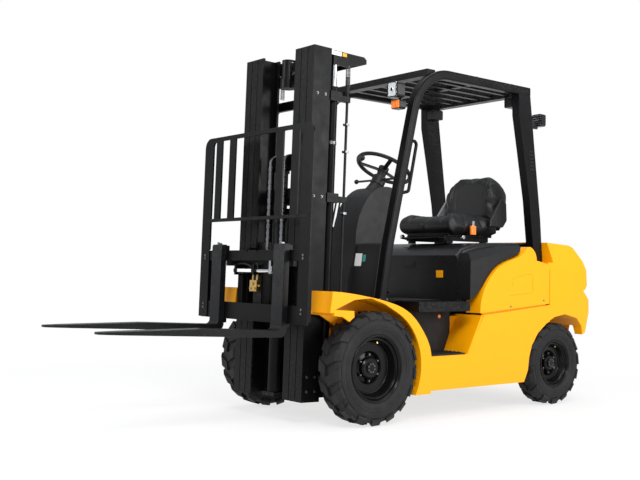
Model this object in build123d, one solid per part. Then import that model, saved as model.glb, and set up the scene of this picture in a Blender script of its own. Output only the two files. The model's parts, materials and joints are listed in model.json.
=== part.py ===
from build123d import *
from math import atan2, cos, degrees, pi, radians, sin, sqrt
import os

# Counterbalanced forklift truck, millimetres.
# X+ is the truck's left side, Y- is forward, Z+ is up. Pieces are drawn from the front
# axle line (Y = 0, Z = 0 on the floor) and moved to the row's origin when they are written.

# Wheels and axles
WHEELBASE = 1640
FRONT_TYRE_R = 325
FRONT_TYRE_W = 175
FRONT_RIM_R = 195
FRONT_TRACK = 965
FRONT_LUGS = 17
REAR_TYRE_R = 275
REAR_TYRE_W = 155
REAR_RIM_R = 160
REAR_TRACK = 975
REAR_LUGS = 15
LUG_H = 15
FRONT_HUB_R = 62
FRONT_OFFSET = -8
REAR_HUB_R = 52
REAR_OFFSET = -2
HUB_BORE_R = 26
AXLE_TUBE_R = 62
KINGPIN_X = REAR_TRACK / 2 - 98
KINGPIN_R = 17
STEER_ROD_END = 196

# Chassis
BODY_HALF = 560
SKIN = 14
SILL_Z = 172
STEP_Z = 375
STEP_FRONT_Y = 437
STEP_REAR_Y = 760
FLOOR_Z = 700
FLOOR_T = 60
FLOOR_FRONT_T = 23
REAR_OVERHANG = 375
ARCH_R = 348
RAIL_X = 336
RAIL_T = 18
BAND_Z = 619
BAND_RISE = 51
SEAM = 6

# Bonnet, side covers and counterweight
COVER_REAR_Y = 1566
CW_TOP_Z = 1094
TOW_PIN_R = 16
TOW_PIN_BACK = 62
TOW_HEAD_Z = 560
HOOD_HALF = 430
HOOD_FRONT_Y = 792
HOOD_REAR_Y = 1546
HOOD_TOP_Z = 1075
HOOD_WALL = 12
HOOD_HINGE_R = 9
HOOD_HINGE_X = 240
HOOD_HINGE_Y = HOOD_REAR_Y + 16
HOOD_HINGE_Z = HOOD_TOP_Z + 3
HOOD_PIN_R = 4
HOOD_GAP = 6
HOOD_NOTCH_Y = 1402

# Overhead guard
GUARD_OUT_X = 456
GUARD_TOP_Z = 2134
GUARD_W = 58
GUARD_D = 72
GUARD_FRONT_Y = 500
GUARD_REAR_Y = 1470
SLATS = 6

# Mast, drawn upright and leant back about its pivot on the drive axle
REST_TILT = 1.5
PIVOT_Z = FRONT_TYRE_R
MAST_TOP_Z = 2150
MAST_FOOT_Z = 125
MAST_FRONT_Y = -365
MAST_DEPTH = 130
OUTER_X = 332
RAIL_STEP = 55
RAIL_GAP = 5
FLANGE_T = 14
WEB_T = 13
MAIN_LIFT = 1300
FREE_LIFT = 1000
FORKS_DOWN_Z = 50
LIFT_X = 300
LIFT_Y = -188
LIFT_R = 27
LIFT_ROD_R = 18

# Carriage and forks, drawn at the height they rest at
FORK_FACE_Y = -545
FORK_LENGTH = 1070
FORK_W = 100
FORK_T = 40
FORK_BOTTOM_Z = 490
FORK_X = 310
FORK_RISE = 1.0
FORK_TIP_T = 12
BAR_BOTTOM = 76
CARRIAGE_H = 407
BAR_T = 36
BAR_HALF = 520
BAR_TOP_H = 60
BAR_LOW_H = 100
HOOK_LIP = 16
BACKREST_TOP_Z = 1668
BACKREST_MID_Z = 1157
BACKREST_HALF = 537
BACKREST_T = 12
UPRIGHT_W = 92
PANE_BAR_W = 62
PANE_BAR_X = (236, 380)
SIDE_SHIFT = 100

CARRIAGE_FACE_Y = FORK_FACE_Y + FORK_T
CARRIAGE_PLATE_T = 24
BAR_Z0 = FORK_BOTTOM_Z + BAR_BOTTOM
BAR_Z1 = BAR_Z0 + CARRIAGE_H
LIFT_FACE_Y = CARRIAGE_FACE_Y + BAR_T + 12
SHIFT_Z = BAR_Z1 - 118
SHIFT_Y = CARRIAGE_FACE_Y + 24
SHIFT_END_X = 30
SHIFT_LUG_X = 150
SHIFT_TUBE_R = 18
SHIFT_ROD_R = 13

# Running clearances
PIN_GAP = 0.05
MOVE_GAP = 5
SEAT_GAP = 0.3

# Cylinders, ties, rollers and chains of the mast
RAIL_REAR_Y = MAST_FRONT_Y + MAST_DEPTH
RAIL_MID_Y = MAST_FRONT_Y + MAST_DEPTH / 2
ROLLER_R = (MAST_DEPTH - 2 * FLANGE_T) / 2 - SEAT_GAP
ROLLER_Z = 205
TIE_T = 15
TIE_STEP = TIE_T + 8
INNER_TIE_Y0 = RAIL_REAR_Y - 1
MIDDLE_TIE_Y0 = INNER_TIE_Y0 + TIE_STEP
OUTER_TIE_Y0 = MIDDLE_TIE_Y0 + TIE_STEP
CLAMP_X0 = LIFT_X - LIFT_R - 11
CLAMP_X1 = LIFT_X + LIFT_R + 12
OUTER_TIES = ((150, 300), (600, 690), (1262, 1316), (1850, 1906))
RING_X0, RING_X1 = 230, 260
TOP_TIE_Z0 = 2066
TOP_TIE_REAR_Y = 42
LIFT_SEAT_Z = 160
LIFT_TUBE_TOP_Z = 1937
ROD_HOLD = 77
HOSE_X = OUTER_X - 16
HOSE_R = 8
HOSE_Y = -92
TILT_Z = 640
TILT_EYE_Y = -128
TILT_X = 225
TILT_PIN_R = 14
TILT_REAR_Y = 520
TILT_REAR_Z = 560
FREE_Y = -300
FREE_R = 46
FREE_ROD_R = 30
FREE_TOP_Z = 1180
SHEAVE_R = 48
SHEAVE_X = 66
CROSS_Z = FREE_TOP_Z + 100 + (FORK_BOTTOM_Z - FORKS_DOWN_Z) / 2
CHAIN_W = 20
CHAIN_T = 10

# Covers, seat and steering wheel
CW_FRONT_Y = COVER_REAR_Y
DUCT_Z0 = 640
FILLER_Y0, FILLER_Y1, FILLER_Z0, FILLER_Z1 = 1120, 1385, 735, 872
FILLER_GAP = 0.8
FILLER_HINGE_R = 5
FILLER_PIN_R = 2
FILLER_HINGE_Z0, FILLER_HINGE_Z1 = 785, 825
COVER_IN = HOOD_HALF + MOVE_GAP + 3
SEAT_END_Y = 1420
STEER_Y, STEER_Z, STEER_R = 548, 1545, 178
STEER_LEAN = 28

REAR_END_Y = WHEELBASE + REAR_OVERHANG


def mast_lean(shape, angle=REST_TILT):
    """Lean a piece drawn upright back about the mast's pivot line."""
    return Pos(0, 0, PIVOT_Z) * Rot(-angle, 0, 0) * Pos(0, 0, -PIVOT_Z) * shape


def leant(y, z):
    """Where a point of the upright mast lies when it is leant back."""
    t = radians(REST_TILT)
    return y * cos(t) + (z - PIVOT_Z) * sin(t), PIVOT_Z + (z - PIVOT_Z) * cos(t) - y * sin(t)


def fork_tip():
    """Upright position of the forks' foremost edge."""
    t = radians(FORK_RISE)
    heel_y, heel_z = FORK_FACE_Y, FORK_BOTTOM_Z
    return heel_y - FORK_LENGTH * cos(t), heel_z + FORK_LENGTH * sin(t)


FRONT_REACH = -leant(*fork_tip())[0]
FRONT_AXLE_Y = (FRONT_REACH - REAR_END_Y) / 2


def save(name, shape):
    """Write one node, moved from the front axle line to the row's origin."""
    export_step(Pos(0, FRONT_AXLE_Y, 0) * shape, f"parts/{name}.step")


def box(x0, x1, y0, y1, z0, z1):
    return Pos((x0 + x1) / 2, (y0 + y1) / 2, (z0 + z1) / 2) * Box(
        abs(x1 - x0), abs(y1 - y0), abs(z1 - z0))


def rod_x(x0, x1, y, z, r):
    return Pos((x0 + x1) / 2, y, z) * Rot(0, 90, 0) * Cylinder(r, abs(x1 - x0))


def rod_y(x, y0, y1, z, r):
    return Pos(x, (y0 + y1) / 2, z) * Rot(90, 0, 0) * Cylinder(r, abs(y1 - y0))


def rod_z(x, y, z0, z1, r):
    return Pos(x, y, (z0 + z1) / 2) * Cylinder(r, abs(z1 - z0))


def side_plate(points, x0, x1):
    """A solid drawn in side view as (Y, Z) points, from x0 to x1."""
    return side_solid(Polyline(*points, close=True), x0, x1)


def side_solid(outline, x0, x1):
    face = make_face(outline)
    return extrude(Plane.YZ.offset(min(x0, x1)) * face, abs(x1 - x0))


def both_sides(shape):
    return shape + mirror(shape, about=Plane.YZ)


def pair(shape):
    """The same solid on both sides, as two solids of one node."""
    return Compound([shape, mirror(shape, about=Plane.YZ)])


def rounded(shape, axis, radius):
    """Round every edge that runs along one axis."""
    return fillet(shape.edges().filter_by(axis), radius)


# Wheels

def lug(flat, w, half, skew):
    """One flat-topped tread block that wraps over the shoulder, skewed along the tread."""
    inner, outer = 0.04 * w, 0.50 * w
    foot = flat - 1.8 * LUG_H
    profile = [(inner, foot), (inner, flat), (0.36 * w, flat), (outer, flat - 1.6 * LUG_H),
               (outer, flat - 2.6 * LUG_H)]
    plan = [(inner, -half * 0.9 - skew), (inner, half * 0.9 - skew),
            (outer, half * 1.1 + skew), (outer, -half * 1.1 + skew)]
    section = extrude(Plane.XZ * make_face(Polyline(*profile, close=True)), w, both=True)
    return section & extrude(make_face(Polyline(*plan, close=True)), flat + 1)


def ring_stack(sections, sides):
    """Ruled solid about X through regular polygons, given as (X, distance to the flats)."""
    corner = 1 / cos(pi / sides)
    return loft([Plane.YZ.offset(x) * RegularPolygon(d * corner, sides) for x, d in sections],
                ruled=True)


def tyre(r, w, rim_r, lugs):
    """Industrial tyre centred on the origin, axle along X, standing on a tread block's corner."""
    h = w / 2
    wall = r - rim_r
    half, skew = 0.5 * r * pi / lugs, 0.13 * w
    corner = half * 0.9 + skew
    flat = sqrt(r ** 2 - corner ** 2)
    profile = [(0.72 * h, flat - LUG_H), (0.86 * h, flat - 1.6 * LUG_H),
               (0.97 * h, rim_r + 0.5 * wall)]
    outside = [(-x, d) for x, d in reversed(profile)] + profile
    inside = [(-h, rim_r + 0.34 * wall), (-0.80 * h, rim_r), (0.80 * h, rim_r),
              (h, rim_r + 0.34 * wall)]
    carcass = ring_stack(outside, 2 * lugs) - ring_stack(inside, 2 * lugs)
    block = lug(flat, w, half, skew)
    other = mirror(block, about=Plane.YZ)
    step = 360 / lugs
    first = -degrees(atan2(corner, flat))
    blocks = [Rot(first + step * i, 0, 0) * block for i in range(lugs)]
    blocks += [Rot(first + step * (i + 0.5), 0, 0) * other for i in range(lugs)]
    return carcass.fuse(*blocks)


def rim(r, w, hub_r, offset):
    """Deep dished disc wheel, outer face towards X+, with its bolted hub."""
    h = w / 2
    t = 7
    seat = r - SEAT_GAP
    points = [(-h * 0.80, seat), (-h * 0.80, r - 14), (-h * 0.66, r - 20),
              (offset - 10, r - 34), (offset - 10, hub_r + 34), (offset - 22, hub_r + 22),
              (offset - 22, HUB_BORE_R), (offset + 26, HUB_BORE_R), (offset + 26, hub_r - 8),
              (offset + 18, hub_r), (offset - 6, hub_r), (offset - 6 - t, hub_r + 20),
              (offset + t, hub_r + 34), (offset + t + 4, r - 46), (h * 0.52, r - 32),
              (h * 0.60, r - 22), (h * 0.72, r - 20), (h * 0.80, r - 14), (h * 0.80, seat),
              (h * 0.62, r - 8), (-h * 0.62, r - 8)]
    body = revolve(make_face(Polyline(*points, close=True)), Axis.X)
    body += rod_x(offset + 25, offset + 34, 0, 0, 32)
    nuts = [Rot(60 * i, 0, 0) * Pos(offset - 15, 0, hub_r + 13) * Rot(0, 90, 0)
            * extrude(RegularPolygon(10, 6), 20) for i in range(6)]
    return body.fuse(*nuts)


def drive_axle():
    """Axle housing with its gear case, brake drums and journals for the mast."""
    z = FRONT_TYRE_R
    drum_out = FRONT_TRACK / 2 + FRONT_OFFSET - 22 - SEAT_GAP
    housing = rod_x(-drum_out + 40, drum_out - 40, 0, z, AXLE_TUBE_R)
    case = Pos(0, 10, z) * Sphere(150)
    case = case & box(-140, 140, -120, 170, z - 150, z + 150)
    gearbox = rod_y(0, 60, 260, z + 20, 105)
    drums = both_sides(rod_x(FRONT_TRACK / 2 - 78, drum_out, 0, z, 128)
                       + rod_x(drum_out - 1, drum_out + 40, 0, z, HUB_BORE_R - PIN_GAP))
    return housing + case + gearbox + drums


def steer_axle():
    """Steering axle beam with its cylinder, trunnions and kingpin yokes."""
    y, z = WHEELBASE, REAR_TYRE_R
    beam = box(-KINGPIN_X + 34, KINGPIN_X - 34, y - 48, y + 48, z - 46, z + 46)
    beam = rounded(beam, Axis.X, 12)
    yoke = box(KINGPIN_X - 40, KINGPIN_X + 26, y - 34, y + 34, z - 78, z + 78)
    yoke -= box(KINGPIN_X - 32, KINGPIN_X + 40, y - 60, y + 60, z - 50, z + 50)
    yoke = yoke - rod_z(KINGPIN_X, y, z - 90, z + 90, KINGPIN_R)
    cylinder = rod_x(-150, 150, y + 78, z + 4, 30) + box(-120, 120, y + 40, y + 70, z - 20, z + 30)
    rods = rod_x(-STEER_ROD_END, STEER_ROD_END, y + 78, z + 4, 13)
    pivots = rod_y(0, y - 118, y + 118, z + 20, 42)
    saddle = box(-70, 70, y - 48, y + 48, z, z + 76)
    return beam + both_sides(yoke) + cylinder + rods + pivots + saddle


def knuckle():
    """Left steering knuckle: kingpin, boss, arm and stub axle."""
    y, z = WHEELBASE, REAR_TYRE_R
    boss = rod_z(KINGPIN_X, y, z - 49, z + 49, 30)
    pin = rod_z(KINGPIN_X, y, z - 84, z + 84, KINGPIN_R - PIN_GAP)
    stub_end = REAR_TRACK / 2 + REAR_OFFSET - 22 - SEAT_GAP
    stub = rod_x(KINGPIN_X + 22, stub_end, y, z, 40)
    spindle = rod_x(stub_end - 5, stub_end + 40, y, z, HUB_BORE_R - PIN_GAP)
    return boss + pin + stub + spindle


# Chassis

def fender_curve():
    """Top line of the front wing in side view, from its nose to the step."""
    return Spline((-343, 762), (-146, 742), (85, 699), (250, 635), (378, 505), (432, STEP_Z),
                  tangents=[(1, -0.04), (0.12, -1)])


def wing():
    """Left front wing: top sheet, inner wall, nose and side plate with its cut-outs."""
    z = FRONT_TYRE_R
    top_line = fender_curve()
    outline = [top_line, Line((432, STEP_Z), (432, 155)), Line((432, 155), (290, 155)),
               Line((290, 155), (-361, 633)), Line((-361, 633), (-343, 762))]
    full = side_solid(outline, RAIL_X + RAIL_T, BODY_HALF)
    nose_fill = side_plate([(-361, 633), (-268, 623), (-150, 560), (290, 155), (-361, 100)],
                           RAIL_X, BODY_HALF + 1)
    housing = rod_x(RAIL_X + RAIL_T + 12, BODY_HALF + 1, 0, z, ARCH_R)
    upper = side_plate([(-326, 662), (-182, 716), (-60, 724), (45, 692), (150, 640), (100, 560),
                        (-180, 560), (-186, 654)], RAIL_X + RAIL_T + 12, BODY_HALF + 1)
    pocket_line = [(-345 + 14, 746), (-146, 728), (80, 686), (235, 626), (330, 545), (330, 400),
                   (0, 500), (-330, 640)]
    pocket = side_plate(pocket_line, RAIL_X + RAIL_T + 12, BODY_HALF - SKIN)
    front_open = side_plate([(-400, 100), (-330, 100), (-330, 646), (-400, 646)],
                            RAIL_X + RAIL_T + 12, BODY_HALF + 1)
    return full - nose_fill - housing - pocket - upper - front_open


def sill():
    """Left side below the covers: skin, step floor, riser and inner rail."""
    arch = [(1301, SILL_Z), (1341, 248), (1352, 330), (1380, 409), (1442, 486), (1537, 550),
            (COVER_REAR_Y, 560)]
    band_top = BAND_Z + BAND_RISE
    outline = [(424, SILL_Z), *arch, (COVER_REAR_Y, band_top), (899, BAND_Z - 5),
               (773, STEP_Z + 14), (736, STEP_Z), (424, STEP_Z)]
    skin = side_plate(outline, BODY_HALF - SKIN, BODY_HALF)
    shelf = box(RAIL_X, BODY_HALF - 1, STEP_FRONT_Y - 6, STEP_REAR_Y, STEP_Z - SKIN, STEP_Z)
    riser = side_plate([(STEP_REAR_Y - 6, STEP_Z - SKIN), (STEP_REAR_Y + 14, STEP_Z),
                        (892, BAND_Z - 6), (878, BAND_Z - 6), (STEP_REAR_Y - 10, STEP_Z)],
                       RAIL_X, BODY_HALF - 1)
    under = box(BODY_HALF - 60, BODY_HALF - 1, STEP_FRONT_Y, 1285, SILL_Z, SILL_Z + 10)
    rail = side_plate([(-90, 240), (1270, 200), (1270, 600), (430, 600), (-90, 560)],
                      RAIL_X, RAIL_X + RAIL_T)
    shelf_rear = box(RAIL_X, BODY_HALF - 1, 1180, 1280, 300, 314)
    return skin + shelf + riser + under + rail + shelf_rear


def frame():
    """Welded chassis: both sills and wings on two rails, tied by cross members."""
    side = sill() + wing()
    cross_front = box(-RAIL_X - 2, RAIL_X + 2, 285, 315, 330, 500)
    cross_front -= rod_y(0, 280, 320, FRONT_TYRE_R + 20, 118)
    cross_mid = box(-RAIL_X - 2, RAIL_X + 2, 560, 600, 215, 300)
    cross_rear = box(-RAIL_X - 2, RAIL_X + 2, 1180, 1270, 215, 320)
    tail = both_sides(side_plate([(1190, 400), (1262, 470), (1320, 566), (COVER_REAR_Y - 1, 580),
                                  (COVER_REAR_Y - 1, 662), (1190, 620)],
                                 RAIL_X - 60, RAIL_X + RAIL_T))
    tilt_lugs = both_sides(tilt_frame_lug())
    axle_seat = rod_x(-BODY_HALF, BODY_HALF, 0, FRONT_TYRE_R, AXLE_TUBE_R + SEAT_GAP)
    body = both_sides(side) + cross_front + cross_mid + cross_rear + tail + tilt_lugs
    return body - axle_seat


def step_mats():
    """Black step well: studded tread, ribbed back wall."""
    tread = box(RAIL_X + RAIL_T + SEAT_GAP, BODY_HALF - SKIN - 1, STEP_FRONT_Y + 2, STEP_REAR_Y - 14,
                STEP_Z + SEAT_GAP, STEP_Z + 9)
    ribs = [box(RAIL_X + RAIL_T + 12, BODY_HALF - SKIN - 8, y, y + 9, STEP_Z + 8, STEP_Z + 14)
            for y in range(STEP_FRONT_Y + 14, STEP_REAR_Y - 30, 26)]
    wall = box(RAIL_X + RAIL_T + SEAT_GAP, RAIL_X + RAIL_T + 10, STEP_FRONT_Y + 2, 800,
               STEP_Z + 8, FLOOR_Z - FLOOR_T - 2)
    wall -= side_plate([(STEP_REAR_Y - 16, STEP_Z), (895, FLOOR_Z), (920, STEP_Z)],
                       RAIL_X, BODY_HALF)
    return pair(tread.fuse(wall, *ribs))


def floor_plate():
    """Footboard across the truck, over the step wells, with a raised toe board."""
    z0, z1 = FLOOR_Z - FLOOR_T, FLOOR_Z
    wide = box(-BODY_HALF + 8, BODY_HALF - 8, 330, HOOD_FRONT_Y - HOOD_GAP - 8, z0, z1)
    wing_clear = side_solid([fender_curve(), Line((432, STEP_Z), (100, STEP_Z)),
                             Line((100, STEP_Z), (-343, 762))], RAIL_X - 10, BODY_HALF + 9)
    keep_out = Pos(0, 1, 1) * wing_clear
    wide = wide - both_sides(keep_out)
    narrow = box(-RAIL_X - RAIL_T + SEAT_GAP, RAIL_X + RAIL_T - SEAT_GAP, 118, 340,
                 z1 - FLOOR_FRONT_T, z1)
    return wide + narrow - both_sides(guard_foot_slot())


def guard_foot_slot():
    return box(GUARD_OUT_X - GUARD_W - 3, GUARD_OUT_X + 3, 90, 190, 560, 800)


# Covers

def cover_line():
    """Front and top edge of the yellow side cover in side view."""
    return Spline((866, 668), (900, 770), (1043, 917), (1171, 966), (1282, 1010), (1345, 1053),
                  (1392, 1030), (1420, 965))


def cover_outline():
    rise = BAND_RISE * (COVER_REAR_Y - 866) / (COVER_REAR_Y - 899)
    low = BAND_Z + SEAM
    return [cover_line(), Line((1420, 965), (COVER_REAR_Y - SEAM, 940)),
            Line((COVER_REAR_Y - SEAM, 940), (COVER_REAR_Y - SEAM, low + rise)),
            Line((COVER_REAR_Y - SEAM, low + rise), (866, low)), Line((866, low), (866, 668))]


def filler_outline(grow=0):
    g = grow
    points = [(FILLER_Y0 - g, FILLER_Z0 + 22), (FILLER_Y0 + 30, FILLER_Z0 - g),
              (FILLER_Y1 + g, FILLER_Z0 + 18 - g), (FILLER_Y1 + g, FILLER_Z1 + g),
              (FILLER_Y1 - 90, FILLER_Z1 + g), (FILLER_Y0 + 55, FILLER_Z1 - 30 + g)]
    return points


def side_covers():
    """Yellow engine side covers; the left one has the filler's recess and its cap."""
    solid = side_solid(cover_outline(), COVER_IN, BODY_HALF)
    hollow = side_solid(cover_outline(), COVER_IN - 1, BODY_HALF - SKIN)
    hollow = Pos(30, 0, 0) * Pos(0, 12, -14) * hollow
    shell = solid - (hollow & box(COVER_IN - 1, BODY_HALF - SKIN, 700, 1548, 500, 1100))
    left = shell - side_plate(filler_outline(FILLER_GAP), BODY_HALF - 40, BODY_HALF + 1)
    pan = side_plate(filler_outline(8), BODY_HALF - 46, BODY_HALF - SKIN)
    pan -= side_plate(filler_outline(FILLER_GAP), BODY_HALF - 38, BODY_HALF + 1)
    left -= rod_z(BODY_HALF, FILLER_Y1, FILLER_HINGE_Z0 - SEAT_GAP, FILLER_HINGE_Z1 + SEAT_GAP,
                  FILLER_HINGE_R + FILLER_GAP)
    left = left + pan + filler_hinge()
    cap = rod_x(BODY_HALF - 39, BODY_HALF - 16, 1250, 800, 34)
    flange = cover_flange()
    right = mirror(shell + flange, about=Plane.YZ)
    return Compound([left + cap + flange, right])


def cover_flange():
    """Lip at the foot of a side cover, seated inside the sill's skin."""
    low = BAND_Z + SEAM + 2
    behind = side_plate([(900, low - 26), (1540, low + 22), (1540, low + 62), (900, low + 14)],
                        BODY_HALF - SKIN - 10, BODY_HALF - SKIN - SEAT_GAP)
    joined = side_plate([(900, low + 4), (1540, low + 54), (1540, low + 62), (900, low + 14)],
                        BODY_HALF - SKIN - 1, BODY_HALF - SKIN + 1)
    return behind + joined


def filler_door():
    """Left cover's filler door, with its hinge knuckle along the rear edge."""
    panel = side_plate(filler_outline(), BODY_HALF - 8, BODY_HALF)
    latch = rod_x(BODY_HALF - 1, BODY_HALF + 3, FILLER_Y0 + 62, 812, 9)
    for z0, z1 in filler_hinge_ends():
        panel -= rod_z(BODY_HALF, FILLER_Y1, z0 - FILLER_GAP, z1 + FILLER_GAP,
                       FILLER_HINGE_R + FILLER_GAP)
    knuckle = rod_z(BODY_HALF, FILLER_Y1, FILLER_HINGE_Z0, FILLER_HINGE_Z1, FILLER_HINGE_R)
    bore = rod_z(BODY_HALF, FILLER_Y1, FILLER_HINGE_Z0 - 1, FILLER_HINGE_Z1 + 1,
                 FILLER_PIN_R + PIN_GAP)
    return panel + latch + knuckle - bore


def filler_hinge_ends():
    """Heights of the hinge barrels that stay on the cover, under and over the door's own."""
    return ((FILLER_HINGE_Z0 - SEAT_GAP - 15, FILLER_HINGE_Z0 - SEAT_GAP),
            (FILLER_HINGE_Z1 + SEAT_GAP, FILLER_HINGE_Z1 + SEAT_GAP + 15))


def filler_hinge():
    """The cover's half of the filler door's hinge: two barrels and the pin."""
    (low, _), (_, high) = filler_hinge_ends()
    barrels = [rod_z(BODY_HALF, FILLER_Y1, z0, z1, FILLER_HINGE_R)
               for z0, z1 in filler_hinge_ends()]
    return rod_z(BODY_HALF, FILLER_Y1, low, high, FILLER_PIN_R).fuse(*barrels)


def hood():
    """Engine bonnet: hollow lid that carries the seat, with bulged side panels."""
    top = HOOD_TOP_Z
    outline = [(HOOD_FRONT_Y, FLOOR_Z - 20), (HOOD_FRONT_Y, 985), (HOOD_FRONT_Y + 50, 1030),
               (1000, top - 5), (HOOD_REAR_Y, top + 12), (HOOD_REAR_Y, 1000),
               (1380, 900), (1000, FLOOR_Z - 20)]
    lid = side_plate(outline, -HOOD_HALF, HOOD_HALF)
    edges = lid.edges().filter_by(GeomType.LINE).filter_by(
        lambda e: e.center().Z > 1000 and abs(e.center().X) > HOOD_HALF - 1)
    lid = fillet(edges, 26)
    inner = side_plate([(HOOD_FRONT_Y + HOOD_WALL, FLOOR_Z - 40),
                        (HOOD_FRONT_Y + HOOD_WALL, 975),
                        (HOOD_FRONT_Y + 55, 1016), (1000, top - 18),
                        (HOOD_REAR_Y - HOOD_WALL, top - 2), (HOOD_REAR_Y - HOOD_WALL, 900),
                        (1380, 860), (1000, FLOOR_Z - 40)],
                       -HOOD_HALF + HOOD_WALL, HOOD_HALF - HOOD_WALL)
    post_notch = both_sides(box(GUARD_OUT_X - GUARD_W - 12, HOOD_HALF + 1, HOOD_NOTCH_Y,
                                HOOD_REAR_Y + 1, 800, 1200))
    lid = lid - inner - post_notch
    lid += both_sides(box(GUARD_OUT_X - GUARD_W - 24, GUARD_OUT_X - GUARD_W - 12,
                          HOOD_NOTCH_Y - 10, HOOD_REAR_Y, 1000, top - 30))
    bulge_line = Spline((HOOD_FRONT_Y + 2, FLOOR_Z + 8), (900 - 8, 778), (1037, 924),
                        (1166, 974), (1276, 1018), (1336, 1058))
    bulge = side_solid([bulge_line, Line((1336, 1058), (1100, 1052)),
                        Line((1100, 1052), (HOOD_FRONT_Y + 30, 1000)),
                        Line((HOOD_FRONT_Y + 30, 1000), (HOOD_FRONT_Y + 2, 940)),
                        Line((HOOD_FRONT_Y + 2, 940), (HOOD_FRONT_Y + 2, FLOOR_Z + 8))],
                       HOOD_HALF - 1, BODY_HALF - 22)
    outer_edges = bulge.edges().filter_by(lambda e: e.center().X > BODY_HALF - 23
                                          and e.center().Z > 985)
    bulge = chamfer(outer_edges, 45)
    x0, x1 = HOOD_HINGE_X, HOOD_HINGE_X + 50
    leaf = box(x0, x1, HOOD_REAR_Y - 6, HOOD_HINGE_Y, HOOD_HINGE_Z - 7, HOOD_HINGE_Z + 3)
    leaf += rod_x(x0, x1, HOOD_HINGE_Y, HOOD_HINGE_Z, HOOD_HINGE_R)
    leaf -= rod_x(x0 - 1, x1 + 1, HOOD_HINGE_Y, HOOD_HINGE_Z, HOOD_PIN_R + PIN_GAP)
    return lid + both_sides(bulge) + both_sides(leaf)


def hood_hinge_ears():
    """Ears and pin of the left bonnet hinge, on the counterweight."""
    x0, x1 = HOOD_HINGE_X, HOOD_HINGE_X + 50
    ears = [box(x, x + 10, HOOD_HINGE_Y - 9, HOOD_HINGE_Y + 32, HOOD_HINGE_Z - 9, HOOD_HINGE_Z + 9)
            for x in (x0 - 11, x1 + 1)]
    return ears[0] + ears[1] + rod_x(x0 - 10, x1 + 10, HOOD_HINGE_Y, HOOD_HINGE_Z, HOOD_PIN_R)


def counterweight():
    """Cast counterweight: waisted tail, wheel arches, air duct with louvres, tow pocket."""
    rear = REAR_END_Y
    outline = [(CW_FRONT_Y, 566), (CW_FRONT_Y, 1040), (CW_FRONT_Y + 24, CW_TOP_Z),
               (1868, 1078), (1905, 1062), (1972, 966), (1990, 806), (1972, 776), (1946, 764),
               (rear - 2, 700), (rear, 612), (rear - 46, 474), (1936, 462), (1926, 520),
               (1868, 578), (1735, 606), (1624, 590)]
    body = side_plate(outline, -BODY_HALF, BODY_HALF)
    # The tail narrows towards the rear in plan
    plan = make_face([Line((-BODY_HALF, CW_FRONT_Y - 1), (-BODY_HALF, 1800)),
                      Spline((-BODY_HALF, 1800), (-500, 1940), (-380, rear - 14), (0, rear),
                             (380, rear - 14), (500, 1940), (BODY_HALF, 1800),
                             tangents=[(0, 1), (0, -1)]),
                      Line((BODY_HALF, 1800), (BODY_HALF, CW_FRONT_Y - 1)),
                      Line((BODY_HALF, CW_FRONT_Y - 1), (-BODY_HALF, CW_FRONT_Y - 1))])
    body = body & extrude(plan, 1200)
    # Upper corners lean in
    upper = [(-BODY_HALF, 400), (-BODY_HALF, 900), (-BODY_HALF + 62, 1060),
             (-BODY_HALF + 120, 1200), (BODY_HALF - 120, 1200), (BODY_HALF - 62, 1060),
             (BODY_HALF, 900), (BODY_HALF, 400)]
    body = body & extrude(Plane.XZ.offset(-rear - 10) * make_face(Polyline(*upper, close=True)),
                          600)
    duct = box(-250, 250, CW_FRONT_Y - 1, 1940, DUCT_Z0, 980)
    body = body - duct
    slots = [box(-215, 215, 1900, rear + 10, z, z + 26) for z in range(660, 960, 58)]
    body = body.cut(*slots)
    shoulder = both_sides(box(GUARD_OUT_X - GUARD_W - 8, BODY_HALF + 1, CW_FRONT_Y - 1,
                              CW_FRONT_Y + 62, 955, 1200))
    body = body - shoulder
    tail = box(-125, 125, 1790, rear - 12, 205, DUCT_Z0 - 2) & extrude(plan, 1200)
    tail -= box(-60, 60, rear - 100, rear + 10, 400, 470)
    tail -= rod_y(0, 1700, 1800, REAR_TYRE_R + 20, 43)
    block_top = DUCT_Z0 - 2
    front_block = side_plate([(1450, 560), (1542, 584), (CW_FRONT_Y, block_top),
                              (CW_FRONT_Y + 40, block_top),
                              (CW_FRONT_Y + 40, 340), (1520, 210), (1450, 210)], -125, 125)
    front_block -= box(-130, 130, WHEELBASE - 49, 1790, 100, 560)
    front_block -= rod_y(0, 1500, 1600, REAR_TYRE_R + 20, 43)
    bridge = box(-125, 125, CW_FRONT_Y, 1810, 560, DUCT_Z0 - 2)
    pin_y = REAR_END_Y - TOW_PIN_BACK
    recess = box(-46, 46, pin_y - 46, REAR_END_Y + 10, TOW_HEAD_Z, TOW_HEAD_Z + 66)
    bore = rod_z(0, pin_y, 330, TOW_HEAD_Z + 1, TOW_PIN_R)
    return body + tail + bridge + front_block - recess - bore + both_sides(hood_hinge_ears())


def tow_pin():
    """Drawbar pin, dropped through the counterweight's pocket."""
    y = REAR_END_Y - TOW_PIN_BACK
    shank = rod_z(0, y, 340, TOW_HEAD_Z + 1, TOW_PIN_R - 0.5)
    head = rod_z(0, y, TOW_HEAD_Z + SEAT_GAP, TOW_HEAD_Z + 14, 24)
    neck = rod_z(0, y, TOW_HEAD_Z, TOW_HEAD_Z + 22, 9)
    return shank + head + neck + rod_x(-20, 20, y, TOW_HEAD_Z + 22, 7)


def radiator():
    """Radiator core and shroud between the engine and the counterweight's duct."""
    core = box(-250, 250, 1455, 1530, 600, 960)
    core = rounded(core, Axis.Y, 14)
    fins = [box(-225, 225, 1529, 1538, z, z + 8) for z in range(630, 940, 24)]
    feet = both_sides(box(180, RAIL_X - 60, 1470, 1520, 590, 612))
    return core.fuse(*fins) + feet


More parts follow.
